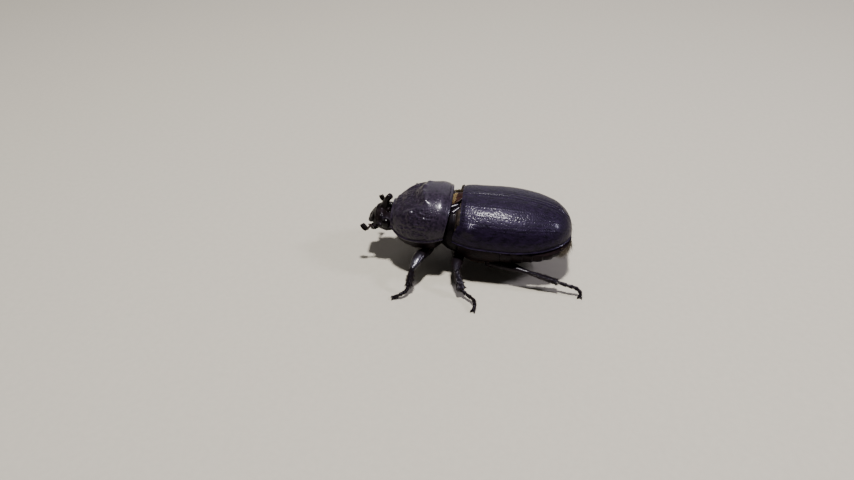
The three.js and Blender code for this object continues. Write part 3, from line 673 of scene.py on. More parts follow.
# Legs: stiff bristles, nearly as dark as the legs, which show only against the light.
DARK_SETA = seta("dark_bristle", "#0c0807", "#24150e")
EYE_LENSES = eye_chitin()


# ------------------------------------------------------------------ wing cases

ELYTRON_ROWS, ELYTRON_COLUMNS = 381, 201
COARSE = 10                 # outer grid lines to each line inside a plate
LAST_ROW = 0.985            # the rows stop just short of the tip, where they would meet


def elytra_size(y):
    """Half width, margin height and dome height of both wing cases at stations y."""
    w, margin, dome = along(ELYTRA, y)
    return (w * cap(y, 10.8, ELYTRA_END, 2.25), margin,
            dome * cap(y, 7.0, ELYTRA_END, 2.3))


def elytra_point(u, v, inset=0.0):
    """Wing-case surface; u runs back and v from the suture to the margin."""
    front = BASE_AT_SUTURE + (BASE_AT_MARGIN - BASE_AT_SUTURE) * smooth(0.5, 0.95, v)
    y = front + (ELYTRA_END - inset - front) * np.sin(u * math.pi / 2)
    w, margin, dome = elytra_size(y + inset * smooth(0.7, 1.0, u))
    lip = 1 - 0.02 * (1 - smooth(0.0, 1.0, y - front))
    side, up = quarter(v, ELYTRA_POWER)
    x = np.maximum(w * lip - inset, 0) * side + SUTURE_HALF_GAP
    z = margin + np.maximum(dome * lip - inset, 0) * up
    return np.stack([x, y, z], -1)


def elytron_grid(inset):
    """Left wing case as an even grid of points, inset from its outer surface."""
    u, v = np.meshgrid(np.linspace(0, LAST_ROW, 400), np.linspace(0, 1, ELYTRON_COLUMNS),
                       indexing="ij")
    return even_rows(elytra_point(u, v, inset), ELYTRON_ROWS)


# Lines of pits along each wing case, and the low ribs between the pairs of lines:
# distances from the suture where the case is widest.
PIT_ROWS = (1.7, 2.4, 3.9, 4.6, 6.1, 6.8, 8.4, 9.1)
RIBS = (2.05, 4.25, 6.45, 8.75)
PIT_STEP = 0.47             # from pit to pit along a line
PIT_RADIUS = 0.16
ARC_AT_WIDEST = 14.0        # from suture to margin over the dome

# Places (back, across) of the bumps at the shoulder and near the tail.
SHOULDER = (0.065, 0.70)
TAIL_KNOB = (0.66, 0.47)


def pit_lines(back, out, across, seed):
    """Depth, 0 to 1, of the lines of pits that run along a wing case."""
    level = out * ARC_AT_WIDEST / np.maximum(across, 0.5)
    depth = np.zeros_like(back)
    for number, row in enumerate(PIT_ROWS):
        cell = np.floor(back / PIT_STEP).astype(np.int64)
        for near in (cell - 1, cell, cell + 1):
            shift = 0.5 + 0.4 * (hashed(near, number, seed) - 0.5)
            aside = 0.24 * (hashed(near, number, seed + 5) - 0.5)
            off = (level - row - aside) * across / ARC_AT_WIDEST
            far = np.hypot(back - (near + shift) * PIT_STEP, off) / PIT_RADIUS
            depth = np.maximum(depth, np.clip(1 - far * far, 0, 1) ** 1.3)
    return depth


def near_point(points, centre, radius):
    """Bump of height 1 around a point of the surface."""
    far = np.linalg.norm(points - np.asarray(centre, float), axis=-1)
    return np.exp(-((far / radius) ** 2))


def elytron_relief(points, seed):
    """Height of the sculpture over the smooth wing case."""
    back = lengths_across(points, 0)
    out = lengths_across(points, 1)
    across = out[:, -1:]
    margin = across - out
    body = smooth(1.0, 5.0, across)
    shoulder, tail_knob = (elytra_point(np.array([u]), np.array([v]))[0]
                           for u, v in (SHOULDER, TAIL_KNOB))
    rough = smooth(0.35, 0.9, margin) * smooth(0.1, 0.45, back)
    rough = rough * (1 - 0.8 * near_point(points, tail_knob, 1.1))
    level = out * ARC_AT_WIDEST / np.maximum(across, 0.5)
    # Groove at the suture, its raised lip, and the furrow beside the lip.
    height = body * (0.04 * bell(out, 0.42, 0.26) - 0.07 * bell(out, 0.0, 0.08)
                     - 0.05 * bell(out, 0.92, 0.12))
    # Bead along the margin and the gutter inside it.
    height += body * (0.13 * bell(margin, 0.15, 0.1) - 0.10 * bell(margin, 0.5, 0.2))
    for rib in RIBS:
        height += body * 0.016 * bell(level, rib, 0.3)
    # Lip of the front edge, at the shoulder only, then the two bumps.
    height += 0.09 * smooth(7.5, 9.5, out) * bell(back, 0.2, 0.16)
    height += 0.58 * near_point(points, shoulder, 1.1)
    height += 0.12 * near_point(points, tail_knob, 1.5)
    # Uneven growth, then the wrinkles and pits of the rougher part.
    height += 0.035 * ripple(points, 1.9, seed) + 0.012 * ripple(points, 0.8, seed + 1)
    height += 0.008 * rough * ripple(points, 0.38, seed + 2)
    height -= body * rough * 0.026 * pit_lines(back, out, across, seed)
    height -= body * rough * 0.031 * pits(points, 0.5, 0.21, seed + 2)
    height -= body * rough * 0.012 * pits(points, 0.3, 0.12, seed + 3)
    return height


def elytron(side, word, seed):
    """Wing case; side is 1 for the left one and -1 for the right."""
    outer, inner = elytron_grid(0.0), elytron_grid(ELYTRA_WALL)
    outer = outer + normals_of(outer) * elytron_relief(outer, seed)[..., None]
    outer[..., 0] = np.maximum(outer[..., 0], SUTURE_HALF_GAP)
    return piece(f"wing_case_{word}", sided(shell(outer, inner, COARSE), side),
                 [f"elytron_{word}"], WING_CASE_CHITIN)


# ------------------------------------------------------------------ pronotum

PRONOTUM_ROWS, PRONOTUM_COLUMNS = 181, 361
PRONOTUM_WALL = 0.45


def pronotum_point(u, v, inset=0.0):
    """Pronotum surface; u runs back and v across, from -1 to 1."""
    rear = PRONOTUM_REAR - PRONOTUM_REAR_SWEEP * v * v
    y = PRONOTUM_FRONT + (rear - PRONOTUM_FRONT) * u
    w, margin, top = along(PRONOTUM, y)
    side, up = quarter(np.abs(v), PRONOTUM_POWER)
    x = np.sign(v) * (w - inset) * side
    z = margin + (top - margin - inset) * up
    return np.stack([x, y, z], -1)


HOLLOW_DEPTH = 0.85
HOLLOW_MIDDLE = -6.6        # station of the hollow's rear rim on the middle line

# Pairs of knobs round the hollow: distance out, y, half width, half length, height.
KNOBS = [
    (3.9, -5.5, 0.65, 0.55, 0.30),      # at the corners of the rear rim
    (1.2, -6.0, 0.60, 0.50, 0.26),      # at the middle of the rear rim
    (5.72, -8.26, 0.45, 0.45, 0.70),    # on the cheeks, beside the hollow
]


def hollow_rim(x):
    """Station of the rear rim of the hollow, which sweeps back from the middle."""
    return HOLLOW_MIDDLE + 1.2 * (np.abs(x) / 4.0) ** 1.6


def hollow(x, y):
    """Dug-out front of the pronotum with its raised rim and knobs."""
    far = np.abs(x)
    behind = y - hollow_rim(x)
    inside = smooth(0.3, -1.7, behind) * smooth(-12.3, -10.2, y)
    floor = -HOLLOW_DEPTH * inside * (1 - smooth(2.4, 5.3, far))
    rim = 0.18 * bell(behind, 0.45, 0.55) * (1 - smooth(3.6, 5.2, far))
    side_rim = 0.08 * bell(far, 4.9, 0.9) * smooth(-11.6, -9.6, y) * smooth(-5.2, -6.8, y)
    height = floor + rim + side_rim
    for out, station, wide, long, high in KNOBS:
        height += high * np.exp(-((far - out) / wide) ** 2 - ((y - station) / long) ** 2)
    return height


def pronotum_relief(points):
    """Height of the sculpture over the smooth pronotum."""
    x, y = points[..., 0], points[..., 1]
    back = lengths_across(points, 0)
    to_rear = back[-1:] - back
    across = lengths_across(points, 1)
    margin = np.minimum(across, across[:, -1:] - across)
    inside = smooth(0.2, -0.8, y - hollow_rim(x)) * (1 - smooth(3.6, 5.0, np.abs(x)))
    flank = smooth(4.6, 6.4, np.abs(x)) * smooth(-2.5, -5.5, y) + 0.8 * inside
    flank = np.clip(flank, 0, 1)
    # A bead and the groove inside it: along the sides, the front and the rear.
    height = 0.13 * bell(margin, 0.2, 0.18) - 0.10 * bell(margin, 0.6, 0.18)
    height += 0.17 * bell(back, 0.22, 0.17) - 0.12 * bell(back, 0.66, 0.22)
    height += 0.04 * bell(to_rear, 0.2, 0.2) - 0.04 * bell(to_rear, 0.6, 0.2)
    # Wrinkles and close pits on the flanks and in the hollow, and fine pits elsewhere.
    clear = smooth(0.4, 0.9, margin) * smooth(0.4, 0.9, back) * smooth(0.3, 0.8, to_rear)
    stretch = points * (1.0, 0.45, 1.0)
    height += clear * flank * (0.09 * ripple(stretch, 0.4, 3) + 0.04 * ripple(points, 0.2, 4))
    height -= clear * flank * 0.05 * pits(points, 0.42, 0.2, 5)
    height += 0.03 * ripple(points, 1.8, 6) * clear
    height -= clear * (1 - 0.6 * flank) * 0.032 * pits(points, 0.42, 0.13, 7)
    return height


def pronotum():
    """Shield of the thorax, a shell over the prosternum's filling."""
    u, v = np.meshgrid(np.linspace(0, 1, PRONOTUM_ROWS), np.linspace(-1, 1, PRONOTUM_COLUMNS),
                       indexing="ij")
    outer, inner = pronotum_point(u, v), pronotum_point(u, v, PRONOTUM_WALL)
    _, up = quarter(np.abs(v), PRONOTUM_POWER)
    for grid in (outer, inner):
        grid[..., 2] += hollow(grid[..., 0], grid[..., 1]) * up
    outer = outer + normals_of(outer) * pronotum_relief(outer)[..., None]
    return piece("pronotum_shield", shell(outer, inner, COARSE), ["pronotum"],
                 SHIELD_CHITIN)


# ------------------------------------------------------------------ trunk

# First and last station of each part of the trunk.
METATHORAX = (1.6, 9.9)
ABDOMEN = (10.0, 21.5)
PYGIDIUM = (21.6, 23.9)


def prosternum_rings(rows=90, columns=160):
    """Underside of the prothorax, with a filling that stays under the pronotum."""
    y = np.linspace(-12.1, -2.0, rows)
    low, bottom = along(PROSTERNUM, y)
    wide, margin, top = along(PRONOTUM, y)
    seam = margin - 0.1
    return body_rings(y, wide - 0.75, low, seam, np.maximum(top - 2.0, seam + 0.5), bottom,
                      2.1, columns)


def prosternum():
    """Underside of the prothorax, with the keel between the fore hips."""
    rings = prosternum_rings()
    lower = smooth(0.2, 1.2, rings[:, :1, 2] - rings[..., 2])
    height = 0.05 * ripple(rings, 0.9, 21) - 0.05 * pits(rings, 0.5, 0.2, 22) * lower
    height += 0.5 * bell(rings[..., 0], 0, 0.7) * bell(rings[..., 1], -3.6, 0.9) * lower
    return piece("prosternum_plate", raised(rings, height), ["prosternum"],
                 SHADED_BELLY_CHITIN)


def trunk_rings(ends, rows):
    """Body under the wing cases between two stations."""
    y = np.linspace(*ends, rows)
    w, margin, dome = elytra_size(y + 0.9 * smooth(9.0, 15.0, y))
    bottom = along(BELLY, y)[0]
    close = cap(y, 17.0, BELLY_END, 2.2)
    seam = margin - 0.2
    high = np.maximum(w * (1 - 0.04 * smooth(4.0, 1.0, y)) - 0.95, 0.2)
    low = np.maximum((along(ELYTRA, y)[0] - BELLY_INSET) * close, 0.2)
    top = seam + np.maximum(dome - 0.9, 0.2)
    return body_rings(y, high, low, seam, top, seam - (seam - bottom) * close,
                      ELYTRA_POWER, 192)


def belly_side(rings):
    """0 on the covered back of the trunk, 1 on its bare underside."""
    return smooth(-0.05, 0.5, along(ELYTRA, rings[..., 1])[1] - 0.2 - rings[..., 2])


def metathorax():
    """Breast plate of the middle and hind legs, with its middle and side seams."""
    rings = trunk_rings(METATHORAX, 80)
    bare = belly_side(rings)
    x, y = rings[..., 0], rings[..., 1]
    height = -0.12 * bell(x, 0, 0.16) * bare - 0.10 * bell(np.abs(x) - 5.4 - 0.12 * y, 0, 0.18)
    height -= 0.05 * pits(rings, 0.5, 0.2, 31) * bare
    height += 0.04 * ripple(rings, 1.2, 32)
    return piece("metasternum_plate", raised(rings, height), ["metathorax"],
                 SHADED_BELLY_CHITIN)


# Stations where the belly's rings meet.
STERNITES = (ABDOMEN[0], 12.2, 14.3, 16.3, 18.3, 20.2, ABDOMEN[1])


def sternite_steps(y):
    """Raised rear edges of the belly's overlapping rings."""
    height = np.zeros_like(y)
    for start, end in zip(STERNITES[:-1], STERNITES[1:]):
        within = (y >= start) & (y <= end)
        t = np.clip((y - start) / (end - start), 0, 1)
        height += within * (0.16 * smooth(0.0, 0.85, t) * smooth(1.0, 0.93, t))
    return height


def abdomen():
    """Belly, in overlapping rings."""
    rings = trunk_rings(ABDOMEN, 170)
    bare = belly_side(rings)
    y = rings[..., 1]
    height = sternite_steps(y) * bare - 0.04 * pits(rings, 0.45, 0.16, 41) * bare
    height += 0.03 * ripple(rings, 0.8, 42)
    return piece("belly_rings", raised(rings, height), ["abdomen"],
                 SHADED_BELLY_CHITIN)


def pygidium():
    """Tail plate below the tips of the wing cases."""
    rings = trunk_rings(PYGIDIUM, 50)
    height = 0.03 * ripple(rings, 0.5, 51) - 0.04 * pits(rings, 0.36, 0.14, 52)
    return piece("pygidium_plate", raised(rings, height), ["pygidium"],
                 SHADED_BELLY_CHITIN)


def waist_rings(start=-1.95, end=1.45, rows=60, columns=200):
    """Waist between two stations, by default all that shows."""
    y = np.linspace(start, end, rows)
    w, seam, top, bottom = along(WAIST, y)
    return body_rings(y, w, w, seam, top, bottom, 2.2, columns)


def waist():
    """Mesothorax: the dark collar that the gap shows, its colour darkened with painted shade of
    the gap.
    """
    rings = waist_rings()
    upper = smooth(8.0, 9.5, rings[..., 2])
    height = 0.03 * ripple(rings, 0.7, 61) * upper
    height -= 0.10 * bell(rings[..., 1], 0.75, 0.2) * upper
    return piece("waist_collar", raised(rings, height), ["mesothorax"],
                 SHADED_COLLAR_CHITIN)


# Polished ridges beside the scutellum: path on the left side, and half width.
ROOT_RIDGES = [
    ([(2.8, -0.75, 13.3), (2.42, 0.1, 13.45), (2.05, 0.95, 13.6)], 0.4),
    ([(3.75, 0.15, 12.85), (3.25, 0.7, 13.1), (2.75, 1.25, 13.34)], 0.42),
]
ROOT_RIDGE_THICK = 0.4
ROOT_SKIN_FLOOR = 8.0       # the wing root skin stops here, inside the body


def wing_root_plates():
    """Small polished ridges beside the scutellum, at the roots of the wing cases."""
    parts = []
    for path, half in ROOT_RIDGES:
        for side in (-1, 1):
            at = np.array(path) * (side, 1, 1)
            parts.append(limb(at, [(half, ROOT_RIDGE_THICK)] * 3,
                              (side * 0.9, 0.4, 0), sides=36, spans=30))
    return piece("wing_root_plates", joined(parts), [], SHIELD_CHITIN)


def wing_root_skin():
    """Brown leathery ramp in front of each wing case, from the collar up to its edge."""
    rings = waist_rings(0.8, 1.75, 40, 240)
    rings[..., 2] = np.maximum(rings[..., 2], ROOT_SKIN_FLOOR)
    far, up = np.abs(rings[..., 0]), rings[..., 2]
    # It swells toward the wing cases on either side of the scutellum, and only up there.
    swell = 1.6 * smooth(0.75, 1.7, rings[..., 1]) * smooth(2.9, 4.4, far) - 0.03
    swell = np.where(up > 8.6, swell * smooth(10.3, 11.6, up), -0.03)
    folds = 0.07 * ripple(rings * (1, 0.25, 1), 0.3, 63) + 0.04 * ripple(rings, 0.3, 64)
    return piece("wing_root_skin", raised(rings, swell + folds), [], JOINT_SKIN)


# Scutellum: y, half width, height.
SCUTELLUM = [(-0.7, 1.90, 13.3), (0.4, 1.95, 13.9), (1.6, 1.30, 14.5), (2.8, 0.2, 15.0)]


def scutellum_rings():
    """Scutellum as rings across the body, thin at its edges."""
    y = np.linspace(-0.7, 2.8, 60)
    half, level = along(SCUTELLUM, y)
    a = np.linspace(0, 2 * math.pi, 96, endpoint=False)[None, :]
    side = np.sign(np.cos(a)) * np.abs(np.cos(a)) ** 0.8
    rise = np.where(np.sin(a) > 0, 0.3, 0.7) * np.sign(np.sin(a)) * np.abs(np.sin(a)) ** 0.8
    return np.stack([side * half[:, None], y[:, None] + 0 * a, level[:, None] + rise], -1)


def scutellum():
    """Small triangular shield where the two wing cases meet the collar."""
    rings = scutellum_rings()
    height = 0.02 * ripple(rings, 0.6, 71) - 0.03 * pits(rings, 0.4, 0.12, 72)
    return piece("scutellum_shield", raised(rings, height), ["scutellum"],
                 SCUTELLUM_CHITIN)


# ------------------------------------------------------------------ head

HORN_PATH = [(0, -14.6, 9.1), (0, -14.3, 10.3), (0, -13.95, 11.4), (0, -13.65, 12.4),
             (0, -13.3, 13.05), (0, -12.85, 13.5)]
HORN_SIZES = [(1.5, 1.45), (1.05, 1.15), (0.76, 0.82), (0.66, 0.62), (0.66, 0.6),
              (0.68, 0.62)]

# Clypeus: y, half width, top and bottom height; and the depth of the notch in its front.
CLYPEUS = [(-17.35, 1.2, 8.35, 7.62), (-17.0, 1.7, 9.0, 7.7), (-16.4, 2.1, 9.8, 7.9)]
NOTCH = 0.5

# Swellings of the head: middle and radii.
SWELLINGS = [
    ((0, -15.0, 9.4), (2.0, 1.3, 1.5)),             # foot of the horn
    ((0, -12.6, 9.75), (1.9, 1.3, 0.75)),           # crown
    ((0.66, -13.25, 10.62), (0.66, 0.5, 0.56)),     # pair of bumps behind the horn
    ((-0.66, -13.25, 10.62), (0.66, 0.5, 0.56)),
]
CANTHUS_LEAN = math.radians(12)


def head_rings(rows=80, columns=120):
    """Head capsule before its swellings and cheek ridges are added."""
    y = np.linspace(-16.3, -10.9, rows)
    w, seam, top, bottom = along(HEAD, y)
    return body_rings(y, w, w, seam, top, bottom, 2.2, columns)


def canthus(side):
    """Ridge of the cheek that runs into the front of the eye."""
    run = (math.sin(CANTHUS_LEAN) * side, 0, math.cos(CANTHUS_LEAN))
    return ellipsoid((side * 3.0, -14.5, 8.95), (1.0, 0.95, 0.36), axes_along(run, (1, 0, 0)))


def head_shell():
    """Head capsule: its swellings and cheek ridges melted into one skin, then sculpted."""
    parts = [tube(head_rings()), canthus(1), canthus(-1)]
    parts += [ellipsoid(middle, radii) for middle, radii in SWELLINGS]
    skin, faces, out = remeshed(parts, 0.06, smoothing=4)
    top = smooth(8.2, 9.4, skin[:, 2])
    height = top * (0.03 * ripple(skin * (1, 0.6, 1), 0.32, 81) + 0.015 * ripple(skin, 0.2, 82))
    height -= 0.03 * top * pits(skin, 0.4, 0.18, 83)
    height *= 0.25 + 0.75 * smooth(-13.6, -14.4, skin[:, 1])
    height += 0.02 * ripple(skin, 0.5, 84)
    return piece("head_capsule", (skin + out * height[:, None], faces), ["head"],
                 HEAD_CHITIN)


def clypeus():
    """Shovel in front of the head, with a notch between two lobes."""
    y = np.linspace(-17.4, -16.35, 24)
    w, top, bottom = along(CLYPEUS, y)
    a = np.linspace(0, 2 * math.pi, 96, endpoint=False)[None, :]
    c = np.sign(np.cos(a)) * np.abs(np.cos(a)) ** 0.7
    lift = np.sign(np.sin(a)) * np.abs(np.sin(a)) ** 0.5
    middle, half = (top + bottom)[:, None] / 2, (top - bottom)[:, None] / 2
    notch = NOTCH * (1 - smooth(0, 0.6, np.abs(c))) * smooth(-16.6, -17.4, y)[:, None]
    curl = 0.16 * smooth(-16.9, -17.4, y)[:, None]
    rings = np.stack([w[:, None] * c, y[:, None] + notch, middle + half * lift + curl], -1)
    skin, faces, out = remeshed([tube(rings)], 0.045, smoothing=6)
    height = 0.02 * ripple(skin, 0.3, 91) - 0.03 * pits(skin, 0.34, 0.12, 92)
    return piece("clypeus_lobes", (skin + out * height[:, None], faces), ["clypeus"],
                 HEAD_CHITIN)


def head_horn():
    """Horn: rough at its foot, smoother toward its blunt tip."""
    rings = limb_rings(HORN_PATH, HORN_SIZES, (1, 0, 0), sides=72, spans=110, power=2.1,
                       ends=(0.2, 0.34))
    low = smooth(13.6, 10.5, rings[..., 2])
    height = 0.03 * ripple(rings * (1, 1, 0.5), 0.3, 101) * (0.3 + low)
    height -= 0.035 * pits(rings, 0.36, 0.13, 102) * (0.3 + 0.7 * low)
    return piece("head_horn_shaft", raised(rings, height), ["head_horn"],
                 HEAD_CHITIN)


def eye(side, word):
    """Eye, sunk in the side of the head behind its cheek ridge."""
    lens = ellipsoid((side * EYE_CENTRE[0],) + EYE_CENTRE[1:], EYE_RADII, around=96, rows=64)
    return piece(f"eye_lens_{word}", lens, [f"eye_{word}"], EYE_LENSES)


MANDIBLE_PATH = [(1.1, -16.0, 7.15), (1.7, -16.7, 7.2), (1.5, -17.35, 7.25)]
MANDIBLE_SIZES = [(0.6, 0.42), (0.55, 0.34), (0.4, 0.24), (0.16, 0.14)]
PALP_PATH = [(0.9, -15.1, 6.75), (1.3, -15.8, 6.35), (1.5, -16.4, 6.3), (1.45, -16.8, 6.45)]
MENTUM_PATH = [(0, -13.2, 6.3), (0, -14.6, 6.3), (0, -15.8, 6.7)]
MENTUM_SIZES = [(1.2, 0.3), (1.1, 0.42), (0.6, 0.3)]


def mandible(side, word):
    """Jaw, curving out and back in under the front of the head."""
    blade = limb(MANDIBLE_PATH, MANDIBLE_SIZES, (1, 0, 0), sides=40, spans=40, ends=(0.2, 0.1))
    return piece(f"mandible_{word}_blade", sided(blade, side), [f"mandible_{word}"],
                 JAW_CHITIN)


def beads(path, spans, sizes):
    """Jointed stalk: for each (start, end) of the path, a bead that swells from its thin
    end to its thick one."""
    parts = []
    for (start, end), (thin, thick) in zip(spans, sizes):
        at, _ = spline_point(path, np.linspace(start, end, 4))
        parts.append(limb(at, [(thin, thin), (thick, thick), (thick * 0.92, thick * 0.92)],
                          (0, 0, 1), sides=28, spans=10, ends=(0.05, 0.07)))
    return parts


def palp(side, word):
    """Small four-jointed feeler of the mouth."""
    spans = [(0.0, 0.3), (0.31, 0.55), (0.56, 0.76), (0.77, 1.0)]
    sizes = [(0.18, 0.24), (0.17, 0.25), (0.16, 0.24), (0.17, 0.27)]
    return piece(f"palp_{word}_joints", sided(joined(beads(PALP_PATH, spans, sizes)), side),
                 [f"palp_{word}"], SHADED_BELLY_CHITIN)


def mentum():
    """Chin plate between the palps."""
    rings = limb_rings(MENTUM_PATH, MENTUM_SIZES, (1, 0, 0), sides=64, spans=50)
    return piece("mentum_plate", raised(rings, -0.03 * pits(rings, 0.4, 0.14, 111)), ["mentum"],
                 SHADED_BELLY_CHITIN)


# Paths of the feelers' stalks and clubs.
FEELERS = {
    "left": {
        "side": 1,
        "stalk": [(2.2, -15.0, 8.0), (3.3, -15.6, 8.2), (3.5, -16.7, 8.1), (3.6, -17.25, 7.45)],
        "club": [(3.6, -17.3, 7.4), (3.75, -17.8, 7.95), (3.65, -18.35, 8.75)],
    },
    "right": {
        "side": -1,
        "stalk": [(-2.2, -15.3, 7.3), (-3.1, -15.7, 7.5), (-4.3, -15.7, 8.1),
                  (-5.0, -15.2, 9.1)],
        "club": [(-5.0, -15.3, 9.2), (-5.05, -15.55, 9.85), (-5.0, -15.85, 10.45)],
    },
}
LEAF_THICK = 0.38           # leaves of a feeler's club
LEAF_STEP = 0.3             # from the middle of one leaf to the next


def feeler_stalk(word):
    """Long first joint and a row of small beads."""
    path = FEELERS[word]["stalk"]
    spans = [(0.0, 0.44)] + [(0.46 + 0.09 * k, 0.54 + 0.09 * k) for k in range(6)]
    sizes = [(0.2, 0.32)] + [(0.17, 0.23), (0.16, 0.22), (0.16, 0.22), (0.16, 0.23),
                             (0.17, 0.25), (0.17, 0.28)]
    return piece(f"feeler_{word}_stalk", joined(beads(path, spans, sizes)), [f"antenna_{word}"],
                 SHADED_BELLY_CHITIN)


def feeler_club(word):
    """Three leaves lying on each other, a little fanned."""
    start, middle, end = (np.array(p, float) for p in FEELERS[word]["club"])
    run = end - start
    half = np.linalg.norm(run) / 2
    centre = (start + end) / 2 + (middle - (start + end) / 2) * 0.6
    parts = []
    for leaf in (-1, 0, 1):
        axes = axes_along(run + leaf * 0.12 * np.array([0.0, 1.0, 0.0]), (0, 1, 0))
        parts.append(ellipsoid(centre + axes[0] * (LEAF_STEP * leaf),
                               (LEAF_THICK / 2, half * 0.6, half * 1.06), axes))
    return piece(f"feeler_{word}_club", joined(parts), [f"antenna_club_{word}"],
                 CLUB_CHITIN)


# ------------------------------------------------------------------ legs

# Paths of the left hip joints; the right ones mirror them.
HIPS = {
    "fore": [(1.0, -5.2, 4.6), (3.6, -5.0, 4.1), (5.8, -4.9, 4.5)],
    "mid": [(1.1, 1.6, 3.6), (3.6, 1.6, 3.2), (5.6, 1.5, 3.8)],
    "hind": [(1.0, 8.6, 3.2), (4.0, 8.5, 2.9), (6.8, 8.3, 3.6)],
}

# Stance: knee, ankle, and the path of the foot from there to its claws.
LEGS = {
    "fore_left": {
        "knee": (11.7, -6.9, 4.5), "ankle": (13.8, -7.45, 1.6),
        "foot": [(14.75, -7.7, 1.25), (15.55, -8.5, 1.05), (15.95, -9.95, 0.3)],
    },
    "mid_left": {
        "knee": (11.05, 1.65, 4.3), "ankle": (13.6, 2.9, 1.7),
        "foot": [(14.4, 4.05, 1.2), (15.8, 5.5, 1.1), (17.1, 5.85, 0.9), (17.85, 5.65, 0.3)],
    },
    "hind_left": {
        "knee": (9.4, 15.6, 3.9), "ankle": (9.8, 21.4, 2.3),
        "foot": [(10.35, 23.65, 2.0), (10.5, 25.15, 1.65), (10.95, 26.05, 0.95),
                 (11.25, 26.0, 0.3)],
    },
    "fore_right": {
        "knee": (-11.5, -5.6, 4.6), "ankle": (-15.0, -5.2, 1.5),
        "foot": [(-15.8, -5.8, 0.85), (-16.6, -6.7, 0.95), (-17.3, -7.6, 0.3)],
    },
    "mid_right": {
        "knee": (-10.6, 0.4, 4.4), "ankle": (-14.4, -0.2, 1.7),
        "foot": [(-15.9, 0.3, 1.0), (-17.3, 1.2, 1.0), (-18.5, 1.9, 0.3)],
    },
    "hind_right": {
        "knee": (-10.4, 12.6, 4.2), "ankle": (-13.4, 17.6, 2.2),
        "foot": [(-14.2, 19.3, 1.6), (-15.2, 20.7, 1.3), (-16.0, 21.5, 0.3)],
    },
}

# Half widths and half thicknesses along each segment, and how high the thigh arches.
# Teeth and spurs: place along the shin, reach to the outer (or, if negative, inner) side,
# and reach toward the foot.
SEGMENTS = {
    "fore": {
        "arch": 0.8,
        "coxa": [(1.3, 1.2), (1.5, 1.35), (1.1, 1.0)],
        "femur": [(0.8, 0.7), (1.2, 0.85), (1.1, 0.78), (0.62, 0.5)],
        "tibia": [(0.48, 0.44), (0.56, 0.46), (0.62, 0.46), (0.52, 0.42)],
        "teeth": [(0.42, 0.95, 0.1), (0.68, 1.1, 0.15), (0.95, 1.05, 0.45)],
        "spurs": [(0.5, -1.0, 0.2), (0.95, -0.8, 0.9)],
    },
    "mid": {
        "arch": 0.4,
        "coxa": [(1.3, 1.2), (1.5, 1.3), (1.0, 1.0)],
        "femur": [(0.8, 0.7), (1.2, 0.85), (1.1, 0.78), (0.62, 0.5)],
        "tibia": [(0.5, 0.46), (0.62, 0.5), (0.8, 0.54), (0.96, 0.58)],
        "teeth": [(0.5, 1.0, 0.15), (0.72, 1.2, 0.25), (0.97, 1.4, 0.6)],
        "spurs": [(0.97, -0.6, 1.3), (0.97, -0.15, 1.2)],
    },
    "hind": {
        "arch": 0.25,
        "coxa": [(1.2, 1.1), (1.5, 1.2), (1.2, 1.0)],
        "femur": [(0.85, 0.7), (1.0, 0.72), (0.82, 0.62), (0.5, 0.42)],
        "tibia": [(0.44, 0.4), (0.56, 0.46), (0.66, 0.48), (0.74, 0.5)],
        "teeth": [(0.4, 0.8, 0.15), (0.68, 1.0, 0.2), (0.97, 1.1, 0.5)],
        "spurs": [(0.42, -0.8, 0.2), (0.97, -0.8, 1.3), (0.97, -0.1, 1.2)],
    },
}
SPINE_RUN = 0.9             # how much of the shin its teeth and spurs are spread over
TOOTH_RADIUS = 0.4
SPUR_RADIUS = 0.2
FOOT_JOINT = [(0.27, 0.25), (0.33, 0.3), (0.4, 0.36), (0.45, 0.38)]
CLAW = [(0.2, 0.2), (0.18, 0.16), (0.13, 0.11), (0.05, 0.05)]
CLAW_REACH = 0.6
CLAW_SPREAD = 0.45


def segment(name, part):
    """Sizes of one part of a leg, which both sides share."""
    return SEGMENTS[name.split("_")[0]][part]


def hip_path(name):
    """Path of a leg's hip joint, out to where the thigh begins."""
    kind, word = name.split("_")
    return np.array(HIPS[kind]) * (1 if word == "left" else -1, 1, 1)


def knee_and_ankle(name):
    """Where a leg's shin starts and ends."""
    return np.array(LEGS[name]["knee"]), np.array(LEGS[name]["ankle"])


def level_side(start, end):
    """Level direction square to a run of leg."""
    side = np.cross(end - start, (0.0, 0.0, 1.0))
    return side / np.linalg.norm(side)


def coxa(name):
    """Hip joint, lying across the breast plate."""
    rings = limb_rings(hip_path(name), segment(name, "coxa"), (0, 1, 0), sides=64, spans=50)
    height = 0.03 * ripple(rings, 0.6, 121) - 0.035 * pits(rings, 0.45, 0.15, 122)
    return piece(f"{name}_hip", raised(rings, height), [f"{name}_coxa"],
                 SHADED_BELLY_CHITIN)


def femur_rings(name, sides=72, spans=96):
    hip, knee = hip_path(name)[-1], knee_and_ankle(name)[0]
    middle = (hip + knee) / 2 + (0, 0, segment(name, "arch"))
    return limb_rings([hip, middle, knee], segment(name, "femur"), level_side(hip, knee),
                      sides=sides, spans=spans, power=2.2, ends=(0.3, 0.35))


def femur(name):
    """Thigh; the walking legs' are duller than the fore legs'."""
    rings = femur_rings(name)
    height = 0.035 * ripple(rings, 0.7, 131) - 0.045 * pits(rings, 0.38, 0.13, 132)
    height -= 0.015 * pits(rings, 0.22, 0.09, 133)
    return piece(f"{name}_thigh", raised(rings, height), [f"{name}_femur"],
                 THIGH_CHITIN if name.startswith("fore") else SHIN_CHITIN)


def tibia_rings(name, sides=40, spans=60):
    knee, ankle = knee_and_ankle(name)
    return limb_rings([knee, ankle], segment(name, "tibia"), level_side(knee, ankle),
                      sides=sides, spans=spans, power=2.3, ends=(0.3, 0.12))


